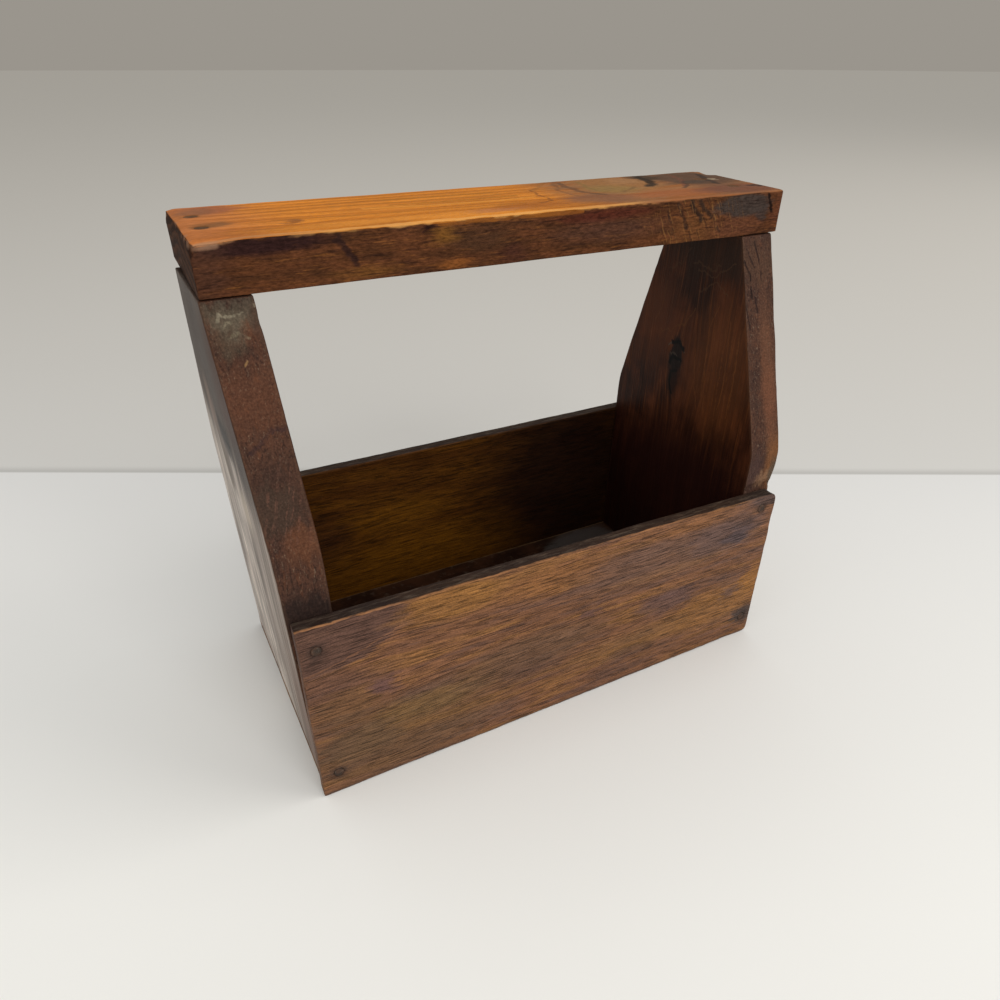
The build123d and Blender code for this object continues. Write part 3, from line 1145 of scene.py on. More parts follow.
        # The pale rim along the front-top arris is rubbed wood with a painted highlight on it.
        rim = Stroke(((-131, -22.8, 236.6), (132, -22.8, 236.9)), 3.4, strength=1.0)
        worn = grain.above(grain.mixed(grain.flow(16.0, 2.0, 4.0, 3.0), 1.3, grain.line(rim)), 1.0, 1.9)
        bare = grain.over("#e6a95f", "#96603f", grain.above(torn, 36.0, 66.0))
        bare = grain.over(bare, "#b08058", grain.above(torn, -72.0, -116.0))
        colour = grain.over(colour, bare, worn, 0.7)
        butt = Stroke(((-134.2, 47, 235.6), (-132.6, -23.4, 235.6), (-124, -24, 236.0)), 4.4, strength=1.0)
        worn = grain.above(grain.mixed(grain.clouds(9.0, 4.0, 8.0), 1.3, grain.line(butt)), 1.0, 1.9)
        colour = grain.over(colour, "#a27c62", worn, 0.5)
        drip = Stroke(((-42, -24.9, 235.6), (24, -24.9, 235.6)), 2.4, strength=1.0)
        wrapped = grain.above(grain.mixed(grain.flow(7.0, 1.5, 4.0, 5.0), 1.6, grain.line(drip)), 1.2, 2.0)
        colour = grain.over(colour, "#9c5c1f", wrapped, 0.5)
        colour = grain.rusted(colour, "#6b4728", 0.6)
        blot = grain.clouds(8.0, 4.0, 3.0)
        roughness = grain.mixed(blot, 0.2, add(tree, RANGE, {"Value": up, "To Min": 0.5, "To Max": 0.36}))
        coarse = add(tree, RANGE, {"Value": up, "To Min": 1.0, "To Max": 0.1})
        rough = grain.times(fleck, coarse)
        grain.finish(colour, roughness, grain.mixed(thread, 0.3, rough), 0.35, 0.02)

    def sawn(self, grain: Grain) -> Any:
        """Colour of the sawn sides: dark, with small painted orange glints.

        Args:
            grain: places on the board.

        Returns:
            The colour.
        """
        blot = grain.flow(22.0, 4.0, 5.0, 3.0)
        side = grain.over("#422818", "#58341f", grain.above(blot, 0.34, 0.66))
        # Painted glints: orange flecks in place of the sparkle of the rough varnish.
        glint = grain.above(grain.flow(9.0, 0.7, 4.0, 1.0), 0.55, 0.72)
        side = grain.over(side, "#865428", glint, 0.5)
        side = grain.marked(side, self.side_marks)
        side = grain.over(side, "#241512", grain.above(grain.flow(12.0, 0.8, 4.0, 7.0), 0.53, 0.66), 0.6)
        return grain.shaded(side, grain.flow(2.2, 0.8, 3.0, 2.0), 0.6, 1.4)


Points = tuple[tuple[float, float, float], ...]


def on_inner(*places: tuple[float, float]) -> Points:
    """Points on the right end board's inner face, which leans out and turns a little.

    Args:
        *places: depth and height of each point.

    Returns:
        The points.
    """
    foot, lean, turn = 108.90, 0.02433, 0.03102
    return tuple((foot + lean * height + turn * depth, depth, height) for depth, height in places)


def on_ledge(foot: float, slope: float, *places: tuple[float, float]) -> Points:
    """Points on the sloping front edge of an end board.

    Args:
        foot: depth that the edge's slope would have at the table.
        slope: how far the edge goes back for each millimetre of height.
        *places: length and height of each point.

    Returns:
        The points.
    """
    return tuple((length, foot + slope * height, height) for length, height in places)


LEFT_LEDGE = (-114.35, 0.4107)
RIGHT_LEDGE = (-103.05, 0.3588)


@dataclass(frozen=True)
class StainedEndPine(Finish):
    """The end boards: pine stained dark brown, varnished inside and rough-sawn on the edges.

    The eye sees dim red-brown wood with upright lines, a black knot, and edges that look
    dusty and scratched. The outer faces are painted pale grey for the sheen seen along their length.
    """

    slot: str = "end_wood"
    name: str = "pine_sawn_dark_stain"
    marks: tuple = (
        Patch((112, -28, 150), (7, 24, 34), "#6b3d1e", 0.4, 0.6),
        Patch((112, 32, 165), (7, 16, 26), "#5c3018", 0.6, 0.6),
        # Painted shadow of the handle: a darker band just under it on the inner face.
        Patch((110, -6, 208), (8, 40, 14), "#33231a", 0.7, 0.5),
        # Painted shade: the lower part of the inner face, deep inside the box, near black.
        Patch((108, 0, 50), (9, 90, 62), "#2b1512", 0.85, 0.3),
        Patch((112, 10, 148), (6, 6.5, 9), "#1b1514", 0.92, 0.3),
        Patch((112, 9, 132), (6, 5.0, 11), "#1c110e", 0.85, 0.4),
        Stroke(on_inner((3, 152), (7, 155), (13, 154.5), (17, 151)), 1.0, "#51453c", 0.7),
        Stroke(on_inner((6, 146), (10, 149), (15, 147)), 0.8, "#453a32", 0.7),
        Stroke(on_inner((4, 153), (8, 155), (14, 154)), 2.4, "#0c090a", 0.95),
        Stroke(on_inner((5, 147), (12, 147), (14, 142)), 2.0, "#0b0808", 0.95),
        Stroke(on_inner((7, 140), (12, 138), (12, 131), (9, 126)), 1.8, "#100b09", 0.9),
        Stroke(on_inner((-22, 190), (-12, 192), (-2, 186)), 0.9, "#543a26", 0.4),
        Stroke(on_inner((-14, 201), (-4, 198), (6, 200)), 0.9, "#543a26", 0.35),
        Stroke(on_inner((-36, 172), (-38, 150), (-37, 128)), 0.6, "#7a4824", 0.4),
        Stroke(on_inner((-28, 176), (-31, 152), (-30, 130)), 0.6, "#7a4824", 0.4),
        Stroke(on_inner((-18, 182), (-14, 170), (-15, 150), (-20, 126)), 0.6, "#7a4824", 0.35),
        Stroke(on_inner((0, 176), (6, 167), (16, 160), (26, 158)), 0.6, "#64401f", 0.4),
        Stroke(on_inner((26, 186), (27, 174), (32, 162)), 0.6, "#64401f", 0.35),
        Stroke(on_inner((-6, 156), (-8, 142), (-14, 124)), 0.6, "#7a4824", 0.35),
        Stroke(on_inner((-24, 204), (-12, 196), (2, 196)), 0.9, "#543a26", 0.4),
        Stroke(on_inner((10, 206), (16, 196), (26, 192)), 0.7, "#543a26", 0.35),
    )
    edge_marks: tuple = (
        # Painted shadow of the handle: a darker band just under it on the front edge.
        Patch((-120, -27, 213), (14, 8, 5), "#433a30", 0.75, 0.4),
        Patch((-122, -27, 210), (8, 8, 4.5), "#655b4c", 0.6, 0.6),
        Patch((-115, -29, 206), (4, 6, 5), "#633c27", 0.5, 0.6),
        Patch((-125, -30, 203), (5, 8, 6), "#4d4336", 0.5, 0.6),
        Patch((-121, -40, 184), (13, 12, 12), "#5f3b29", 0.5, 0.6),
        Patch((-120, -52, 150), (14, 12, 16), "#3c2a22", 0.6, 0.5),
        Patch((-113, -29, 209), (4, 7, 8), "#3d2f28", 0.6, 0.5),
        Patch((-123, -52, 146), (9, 10, 9), "#40332a", 0.6, 0.4),
        Patch((-116, -60, 132), (7, 8, 9), "#663f29", 0.5, 0.5),
        Patch((-118, -61, 102), (16, 5, 8), "#241c1a", 0.8, 0.5),
        Stroke(
            on_ledge(*LEFT_LEDGE, (-128, 209), (-126.5, 213), (-122, 212), (-117, 212.5), (-113, 215)),
            1.1,
            "#8c826e",
            0.5,
        ),
        Stroke(
            on_ledge(*LEFT_LEDGE, (-127, 207), (-124, 210.5), (-119.5, 209.5), (-116, 211.5)),
            0.9,
            "#7d735f",
            0.42,
        ),
        Stroke(on_ledge(*LEFT_LEDGE, (-125, 205), (-121, 206.5), (-118, 204.5)), 0.8, "#706652", 0.38),
        Stroke(on_ledge(*LEFT_LEDGE, (-121.6, 196.9), (-120.8, 197.6)), 0.9, "#8c6c46", 0.6),
        Stroke(
            ((-127, -46, 167), (-122, -44.5, 171), (-117, -43, 174), (-112, -43.5, 172.5)),
            1.6,
            "#2f2226",
            0.42,
        ),
        # Painted shadow of the handle: a darker band just under it on the front edge.
        Patch((121, -30, 206), (14, 12, 9), "#4c3629", 0.6, 0.5),
        Patch((124, -52, 146), (4, 16, 16), "#663a28", 0.45, 0.6),
        Patch((126, -62, 112), (5, 6, 20), "#7a4f2b", 0.6, 0.5),
        Patch((113, -62, 108), (6, 6, 12), "#46332f", 0.6, 0.5),
        Stroke(on_ledge(*RIGHT_LEDGE, (112, 212), (117, 200), (117, 190)), 1.2, "#1e1412", 0.85),
        Stroke(on_ledge(*RIGHT_LEDGE, (121, 214), (124, 203), (123.5, 192)), 1.0, "#241816", 0.8),
        Stroke(on_ledge(*RIGHT_LEDGE, (113, 202), (113, 188), (114.5, 176)), 1.0, "#281b18", 0.75),
        Patch((124.5, -48, 150), (4.5, 26, 44), "#704a35", 0.45, 0.5),
        Stroke(on_ledge(*RIGHT_LEDGE, (115, 213), (120, 204)), 1.0, "#2b1d19", 0.8),
        Stroke(on_ledge(*RIGHT_LEDGE, (119, 190), (120, 184)), 1.4, "#231615", 0.85),
        Patch((121, -62, 102), (5, 6, 4), "#7b5c45", 0.8, 0.5),
        Patch((127, -62, 103), (3, 6, 7), "#4a4136", 0.8, 0.4),
        Stroke(((108, -62, 98.5), (116, -62, 97.5), (124, -62, 95.5)), 2.6, "#1f1512", 0.9),
    )
    outer_marks: tuple = (
        Patch((-131, -2, 156), (7, 14, 9), "#2c2624", 0.85, 0.4),
        Patch((-131, 22, 162), (7, 9, 13), "#8b766a", 0.6, 0.5),
        Patch((-130, -34, 172), (7, 9, 26), "#2c201b", 0.7, 0.5),
        Stroke(((-130, 18, 152), (-131, 4, 154), (-131, -14, 156)), 1.6, "#171314", 0.9),
        Patch((-129, -30, 190), (7, 22, 26), "#4a2c20", 0.7, 0.5),
        Patch((-130, 10, 196), (7, 30, 30), "#3c302b", 0.6, 0.5),
        Patch((-130, -12, 94), (7, 4, 14), "#4a3e37", 0.6, 0.5),
        Patch((-129, -52, 30), (7, 14, 44), "#6f5447", 0.7, 0.6),
        Patch((-131, 12, 134), (7, 8, 10), "#5c4c3c", 0.7, 0.5),
        Patch((-131, -16, 126), (7, 9, 8), "#c9b9a4", 0.5, 0.6),
        Patch((131, 12, 150), (7, 9, 12), "#231a17", 0.8, 0.4),
    )

    def paint(self, tree: Any) -> None:
        """Paints the faces, the sawn edges, the knots and the scratches.

        Args:
            tree: the material's node tree.
        """
        knots = (
            Knot((112, 9, 143), 26.0, 11.0, 0.75),
            Knot((-128, -2, 152), 24.0, 12.0, 0.75),
            Knot((-128, 22, 60), 20.0, 9.0, 0.6),
        )
        grain = Grain(tree, Axis.HEIGHT, Axis.DEPTH, knots, (6.0, 2.5))
        blot = grain.clouds(28.0, 4.0, 4.0)
        thread = grain.flow(40.0, 0.9, 3.0)
        inner = grain.over("#341a10", "#542c18", grain.above(blot, 0.35, 0.65))
        inner = grain.over(inner, "#1d0f0b", grain.rings((14.0, 40.0), 6.0, 6.0), 0.5)
        inner = grain.over(inner, "#7a4420", grain.above(grain.flow(60.0, 2.0, 4.0, 3.0), 0.52, 0.66), 0.3)
        inner = grain.shaded(inner, grain.flow(16.0, 7.0, 3.0, 7.0), 0.78, 1.24)
        inner = grain.shaded(inner, thread, 0.7, 1.34)
        scraped = Patch((112, -27, 150), (8, 17, 28), strength=1.0, fade=0.6)
        fan = grain.saw_marks((0.0, 1.0, -0.06), 2.0, scraped)
        inner = grain.over(inner, "#7d4a24", fan, 0.4)
        inner = grain.marked(inner, self.marks)
        # Outer faces: a painted sheen, pale grey, darker towards the front edge and at the top, with streaks
        # and marks over it.
        outer = grain.over("#ad9f95", "#cfc3b8", grain.above(blot, 0.36, 0.64))
        outer = grain.over(outer, "#85756a", grain.above(grain.across, 10.0, -40.0), 0.7)
        outer = grain.over(outer, "#66564c", grain.rings((14.0, 40.0), 6.0, 6.0), 0.45)
        outer = grain.over(outer, "#44372e", grain.above(grain.along, 128.0, 164.0), 0.88)
        outer = grain.shaded(outer, grain.flow(44.0, 1.7, 4.0, 5.0), 0.45, 1.42)
        outer = grain.shaded(outer, grain.flow(80.0, 5.0, 2.0, 9.0), 0.72, 1.26)
        outer = grain.marked(outer, self.outer_marks)
        colour = grain.over(inner, outer, self.outside(grain))
        sawn = grain.most(grain.facing(Axis.DEPTH, -1.0), grain.facing(Axis.DEPTH, 1.0))
        fleck = grain.flow(3.4, 0.9, 4.0, 2.0)
        edge = grain.over("#402c24", "#4e3428", grain.above(grain.clouds(12.0, 4.0, 1.0), 0.36, 0.62))
        edge = grain.over(edge, "#643b25", grain.above(grain.flow(14.0, 1.6, 4.0, 6.0), 0.54, 0.7), 0.35)
        edge = grain.over(edge, "#2a1c19", grain.above(fleck, 0.5, 0.36), 0.7)
        edge = grain.over(edge, "#7d6a58", grain.above(grain.flow(4.0, 0.6, 2.0, 8.0), 0.58, 0.72), 0.45)
        edge = grain.marked(edge, self.edge_marks)
        hatched = Patch((-118, -54, 147), (12, 14, 15), strength=1.0, fade=0.4)
        cuts = grain.saw_marks((1.0, 0.0, -0.32), 1.5, hatched)
        edge = grain.over(edge, "#69473a", cuts, 0.5)
        colour = grain.over(colour, grain.shaded(edge, grain.clouds(0.8, 2.0), 0.7, 1.28), sawn)
        ends = grain.most(grain.facing(Axis.HEIGHT, 1.0), grain.facing(Axis.HEIGHT, -1.0))
        colour = grain.over(colour, "#2a1d18", ends, 0.8)
        colour = grain.rubbed(colour, "#6a4f3c", 0.12)
        base = add(tree, RANGE, {"Value": sawn, "To Min": 0.34, "To Max": 0.6})
        coarse = add(tree, RANGE, {"Value": sawn, "To Min": 0.12, "To Max": 1.0})
        relief = grain.mixed(thread, 0.4, grain.times(fleck, coarse))
        grain.finish(colour, grain.mixed(blot, 0.2, base), relief, 0.5, 0.07)

    def outside(self, grain: Grain) -> Any:
        """Mask of the two outer faces, which are painted pale grey for the sheen seen along them.

        Args:
            grain: places on the board.

        Returns:
            The mask.
        """
        right = grain.times(grain.facing(Axis.LENGTH, 1.0), grain.above(grain.through, 0.0, 20.0))
        left = grain.times(grain.facing(Axis.LENGTH, -1.0), grain.above(grain.through, 0.0, -20.0))
        return grain.most(right, left)


@dataclass(frozen=True)
class OpenPoreBoard(Finish):
    """The front and back boards: thin open-pored hardwood, brown stain under thin varnish.

    The eye sees fine dark dashes along the grain, with golden and purple-brown clouds.
    """

    slot: str = "side_wood"
    name: str = "thin_hardwood_brown_stain"
    marks: tuple = (
        Patch((-128, FRONT, 101), (50, 8, 29), "#5c4238", 0.92, 0.06),
        Patch((-60, FRONT, 91), (24, 8, 9), "#8f6231", 0.7, 0.5),
        Patch((-8, FRONT, 84), (30, 8, 8), "#8a5c33", 0.6, 0.5),
        Patch((-116, FRONT, 64), (26, 8, 8), "#634639", 0.6, 0.5),
        Patch((-112, FRONT, 50), (16, 8, 10), "#6d4e33", 0.6, 0.4),
        Patch((-92, FRONT, 56), (7, 8, 5), "#5d4344", 0.7, 0.5),
        Patch((-74, FRONT, 44), (16, 8, 3.5), "#5f463f", 0.7, 0.5),
        Patch((-74, FRONT, 36), (26, 8, 7), "#7b5d37", 0.6, 0.5),
        Patch((-108, FRONT, 26), (19, 8, 11), "#634a3b", 0.8, 0.3),
        Patch((-20, FRONT, 44), (40, 8, 11), "#674c39", 0.7, 0.4),
        Patch((-20, FRONT, 31), (16, 8, 6), "#5f4538", 0.6, 0.5),
        Patch((52, FRONT, 76), (44, 8, 13), "#6c5042", 0.7, 0.5),
        Patch((96, FRONT, 78), (24, 8, 11), "#614b45", 0.8, 0.5),
        Patch((103, FRONT, 74), (8, 8, 6), "#514344", 0.8, 0.5),
        Patch((62, FRONT, 46), (18, 8, 7), "#5f4743", 0.75, 0.5),
        Patch((14, FRONT, 57), (6, 8, 3), "#5c4445", 0.6, 0.5),
        Patch((98, FRONT, 29), (34, 8, 13), "#8b5f33", 0.75, 0.4),
        Patch((122, FRONT, 40), (7, 8, 9), "#95642f", 0.7, 0.4),
        Patch((105, FRONT, 36), (6, 8, 3.5), "#664c41", 0.8, 0.4),
        Patch((40, FRONT, 26), (40, 8, 7), "#7f5a35", 0.6, 0.5),
        Patch((36, FRONT, 20), (12, 8, 3.5), "#614636", 0.7, 0.5),
        Patch((72, FRONT, 91), (26, 8, 5), "#8a5c37", 0.6, 0.5),
        Patch((-84, FRONT, 24), (44, 8, 20), "#6a5134", 0.45, 0.6),
        Patch((-90, FRONT, 10), (34, 8, 9), "#684c38", 0.6, 0.5),
        Patch((121, FRONT, 14), (8, 8, 6), "#4b3d37", 0.92, 0.4),
        Patch((120, FRONT, 94), (14, 8, 5), "#52423f", 0.75, 0.5),
        Stroke(
            ((-128, FRONT, 73), (-108, FRONT, 77.5), (-94, FRONT, 82), (-84, FRONT, 86), (-79, FRONT, 92)),
            0.9,
            "#8f6244",
            0.5,
        ),
        Stroke(((118, FRONT, 88), (122, FRONT, 89.4), (127, FRONT, 89.8)), 0.9, "#1d1512", 0.9),
        Stroke(((113, FRONT, 91), (118, FRONT, 90.6)), 0.7, "#2a201d", 0.8),
    )
    inner_marks: tuple = (
        Patch((-40, BACK_INSIDE, 55), (34, 8, 9), "#74480f", 0.7, 0.5),
        Patch((-30, BACK_INSIDE, 30), (30, 8, 12), "#6b410e", 0.6, 0.5),
        Patch((-85, BACK_INSIDE, 30), (18, 8, 30), "#3a2013", 0.7, 0.5),
        # Painted shade: near black towards the right end, where the inside of the box lies in shadow.
        Patch((78, BACK_INSIDE, 50), (58, 8, 70), "#1c0d08", 0.9, 0.55),
        Patch((-44, BACK_INSIDE, 16), (70, 8, 24), "#83520f", 0.55, 0.6),
    )

    def paint(self, tree: Any) -> None:
        """Paints clouds, pores, the marks, the nail rust and the worn top edge, with a painted highlight on
        the rim and painted shade inside the box.

        Args:
            tree: the material's node tree.
        """
        knots = (Knot((-96, FRONT, 60), 40.0, 24.0, 0.3),)
        grain = Grain(tree, Axis.LENGTH, Axis.HEIGHT, knots, (9.0, 2.6))
        broad = grain.flow(60.0, 7.0, 5.0)
        colour = grain.over("#765038", "#835a36", grain.above(broad, 0.48, 0.62))
        colour = grain.over(colour, "#674a3d", grain.above(broad, 0.48, 0.36), 0.8)
        colour = grain.marked(colour, self.marks)
        # Inner faces: an amber stain, made dark to stand for the shade inside the box as well.
        amber = grain.over("#4e2c0c", "#5e380d", grain.above(broad, 0.4, 0.66))
        amber = grain.marked(amber, self.inner_marks)
        inside = grain.facing(Axis.DEPTH, -1.0)
        inside = grain.times(inside, grain.above(grain.through, 0.0, 20.0))
        front_inside = grain.times(grain.facing(Axis.DEPTH, 1.0), grain.above(grain.through, 0.0, -20.0))
        colour = grain.over(colour, amber, grain.most(inside, front_inside))
        colour = grain.shaded(colour, grain.flow(26.0, 1.8, 4.0, 1.0), 0.8, 1.17)
        colour = grain.shaded(colour, grain.flow(16.0, 0.8, 2.0, 6.0), 0.76, 1.22)
        pores = grain.above(grain.flow(11.0, 0.45, 2.0, 2.0), 0.54, 0.62)
        colour = grain.toned(colour, pores, 0.42)
        pale = grain.above(grain.flow(9.0, 0.5, 2.0, 3.0), 0.56, 0.7)
        colour = grain.toned(colour, pale, 1.35)
        colour = grain.shaded(colour, grain.clouds(0.8, 1.0, 5.0), 0.82, 1.18)
        colour = grain.rubbed(colour, "#6c4e3b", 0.15)
        top = grain.facing(Axis.HEIGHT, 1.0)
        dirt = grain.over("#2b211d", "#4f4339", grain.above(grain.flow(9.0, 1.2, 4.0, 5.0), 0.45, 0.7))
        colour = grain.over(colour, dirt, top, 0.92)
        # The front-top rim is worn wood with a painted highlight along the arris.
        rim = Stroke(((-128, -67.6, 99.2), (90, -67.6, 95.9)), 1.5, "#a8744a", 1.0)
        worn = grain.mixed(grain.flow(20.0, 2.0, 4.0, 4.0), 1.6, grain.line(rim))
        colour = grain.over(colour, rim.colour, grain.above(worn, 1.4, 2.1), 0.7)
        colour = grain.rusted(colour, "#3a2c26", 0.7)
        height = add(tree, SPLIT, {0: grain.place}, 2)
        foot = grain.above(grain.mixed(grain.clouds(6.0, 3.0), 3.0, height), 3.6, 2.2)
        colour = grain.over(colour, "#4d4039", foot, 0.6)
        roughness = grain.mixed(broad, 0.25, 0.4)
        relief = grain.mixed(pores, -0.6, grain.flow(9.0, 0.7, 3.0, 6.0))
        grain.finish(colour, roughness, relief, 0.25, 0.1)


@dataclass(frozen=True)
class DustyBoard(Finish):
    """The bottom board: thin sawn board, stained dark above, bare and dusty below.

    The eye sees a dim brown floor with faint lines, and pale raw wood from underneath.
    """

    slot: str = "bottom_wood"
    name: str = "thin_board_sawn_dusty"

    def paint(self, tree: Any) -> None:
        """Paints the stained upper face and the bare lower one.

        Args:
            tree: the material's node tree.
        """
        grain = Grain(tree, Axis.LENGTH, Axis.DEPTH)
        blot = grain.clouds(26.0, 4.0, 3.0)
        fine = grain.flow(26.0, 0.8, 3.0)
        top = grain.over("#2e1b12", "#472b1b", grain.above(blot, 0.4, 0.65))
        low = grain.over("#8a6a4a", "#6c4f37", grain.above(blot, 0.4, 0.62))
        low = grain.over(low, "#5b4230", grain.rings((20.0, -60.0), 9.0, 10.0), 0.5)
        colour = grain.over(low, top, grain.facing(Axis.HEIGHT, 1.0))
        colour = grain.shaded(colour, fine, 0.72, 1.2)
        colour = grain.over(colour, "#6d5d4f", grain.above(grain.clouds(4.0, 4.0, 1.0), 0.56, 0.7), 0.3)
        colour = grain.marked(colour, (Patch((86, 48, 6.5), (24, 13, 4), "#5a5450", 0.8, 0.4),))
        colour = grain.rubbed(colour, "#9a7a58", 0.4)
        colour = grain.rusted(colour, "#3a2a20", 0.8)
        roughness = grain.mixed(blot, 0.2, 0.55)
        grain.finish(colour, roughness, fine, 0.25, 0.1)


@dataclass(frozen=True)
class RustedSteel(Finish):
    """The nails: drawn steel wire, blackened by rust and by the stain brushed over it.

    The eye sees dull, nearly black heads with brown and grey specks. Under the handle's
    amber varnish the same steel looks brown, so its nails have colours of their own.
    """

    slot: str = "nail_steel"
    name: str = "steel_wire_rusted"
    dark: str = "#3a2f28"
    brown: str = "#4f3a2e"
    speck: str = "#6a6156"

    def paint(self, tree: Any) -> None:
        """Paints rust over steel.

        Args:
            tree: the material's node tree.
        """
        grain = Grain(tree, Axis.LENGTH, Axis.DEPTH)
        speck = grain.clouds(1.1, 4.0)
        colour = grain.over(self.dark, self.brown, grain.above(grain.clouds(4.0, 3.0, 2.0), 0.42, 0.6))
        colour = grain.over(colour, self.speck, grain.above(speck, 0.56, 0.7), 0.5)
        roughness = grain.mixed(speck, 0.3, 0.5)
        bump = add(tree, RELIEF, {"Strength": 1.0, "Distance": 0.12 * MM, "Height": speck})
        links = {"Base Color": colour, "Metallic": 0.15, "Roughness": roughness, "Normal": bump}
        links |= {"Specular IOR Level": 0.15}
        add(tree, "ShaderNodeOutputMaterial", {0: add(tree, SURFACE, links)})


# ---------------------------------------------------------------- sub-assemblies


@dataclass
class Box:
    """The thin boards: front, back and bottom, with the nails that hold them."""

    arris: float = 0.7
    side_finish: OpenPoreBoard = field(default_factory=OpenPoreBoard)
    bottom_finish: DustyBoard = field(default_factory=DustyBoard)

    def build(self) -> list[bpy.types.Object]:
        """Builds the three boards.

        Returns:
            The front, back and bottom boards.
        """
        front = Board(
            "front_board",
            Axis.LENGTH,
            Axis.HEIGHT,
            seed=11,
            arris=self.arris,
            saw_wander=0.15,
            nails=[("front_left_nails", Face.FRONT), ("front_right_nails", Face.FRONT)],
            dents=[
                Dent((121.5, -67.75, 89.6), (7.5, 2.2, 0.75), 0.9, 0.5),
                Dent((127.6, -64.5, 96.2), (5.5, 9.0, 5.5), 1.5, 1.0),
                Dent((127.5, -64.5, 77.0), (2.6, 9.0, 9.0), 0.5),
                Dent((127.5, -64.5, 60.0), (2.0, 9.0, 7.0), 0.3),
                Dent((-127.3, -68.0, 69.0), (3.5, 2.0, 1.2), 0.8),
                Dent((-127.3, -68.0, 66.0), (2.5, 2.0, 0.9), 0.7),
                Dent((112.0, -68.0, 2.0), (14.0, 3.0, 3.0), 0.6),
            ],
        )
        back = Board(
            "back_board",
            Axis.LENGTH,
            Axis.HEIGHT,
            seed=23,
            arris=self.arris,
            nails=[("back_left_nails", Face.BACK), ("back_right_nails", Face.BACK)],
        )
        bottom = Board(
            "bottom_board",
            Axis.DEPTH,
            Axis.LENGTH,
            seed=31,
            arris=0.5,
            saw_wander=0.1,
            nails=[("bottom_left_nails", Face.UNDER), ("bottom_right_nails", Face.UNDER)],
        )
        return [
            front.build(self.side_finish),
            back.build(self.side_finish),
            bottom.build(self.bottom_finish),
        ]


@dataclass
class Ends:
    """The two tall end boards."""

    arris: float = 0.7
    finish: StainedEndPine = field(default_factory=StainedEndPine)

    def build(self) -> list[bpy.types.Object]:
        """Builds the left and the right end board.

        Returns:
            The two boards.
        """
        left = Board(
            "left_end_board",
            Axis.HEIGHT,
            Axis.DEPTH,
            seed=41,
            step=1.9,
            arris=self.arris,
            dents=[Dent((-118, -28, 209), (11, 5, 5), 0.4)],
        )
        right = Board(
            "right_end_board",
            Axis.HEIGHT,
            Axis.DEPTH,
            seed=53,
            step=1.9,
            arris=self.arris,
            dents=[
                Dent((131, -63, 95), (6.5, 9, 16), 2.0, 0.9),
                Dent((118, -62, 97), (14, 3, 4), 1.0, 0.6),
            ],
            fine=[(Axis.HEIGHT, 93.0, 113.0, 1.0)],
        )
        return [left.build(self.finish), right.build(self.finish)]


@dataclass
class Handle:
    """The flat board that the hand grips."""

    arris: float = 0.9
    finish: VarnishedPine = field(default_factory=VarnishedPine)

    def build(self) -> list[bpy.types.Object]:
        """Builds the handle board.

        Returns:
            The board, alone in a list.
        """
        board = Board(
            "handle_board",
            Axis.DEPTH,
            Axis.LENGTH,
            seed=67,
            step=1.5,
            arris=self.arris,
            blunt=(0.35, 1.0),
            saw_wander=0.1,
            dish=0.08,
            nails=[("handle_left_nails", Face.TOP), ("handle_right_nails", Face.TOP)],
            dents=[
                Dent((-10.0, -24.9, TOP), (160.0, 3.4, 3.0), 0.4, 1.0),
                Dent((-133.5, 12.0, TOP), (6.0, 80.0, 6.0), 1.5, 1.0),
                Dent((-132.0, -25.0, TOP), (22.0, 7.0, 6.5), 1.7, 1.0),
                Dent((-92.0, -3.0, TOP), (4.0, 2.2, 1.5), 0.35),
                Dent((94.0, 24.0, TOP), (5.0, 7.0, 2.0), 0.5),
                Dent((143.0, 40.0, TOP), (6.0, 9.0, 2.5), 0.9),
                Dent((-131.0, -24.0, 234.0), (3.0, 3.0, 3.0), 0.5),
            ],
        )
        return [board.build(self.finish)]


@dataclass
class Joinery:
    """All the nails of the tote, joint by joint."""

    finish: RustedSteel = field(default_factory=RustedSteel)
    handle_finish: RustedSteel = RustedSteel(
        name="steel_wire_rusted_under_amber", dark="#5a3e28", brown="#6e4b2d", speck="#80603e"
    )

    def build(self) -> list[bpy.types.Object]:
        """Drives the nails of each joint.

        Returns:
            Each joint's nails.
        """
        tree = nail_tree()
        driven = []
        for place, face in (("front", Face.FRONT), ("back", Face.BACK), ("bottom", Face.UNDER)):
            for side in ("left", "right"):
                driven.append(Nails(f"{place}_{side}_nails", face).build(tree, self.finish))
        for side in ("left", "right"):
            nails = Nails(
                f"handle_{side}_nails",
                Face.TOP,
                head_diameter=5.5,
                head_thickness=1.15,
                shank_diameter=2.5,
                length=49.0,
                point=3.6,
            )
            driven.append(nails.build(tree, self.handle_finish))
        return driven


# ---------------------------------------------------------------- studio


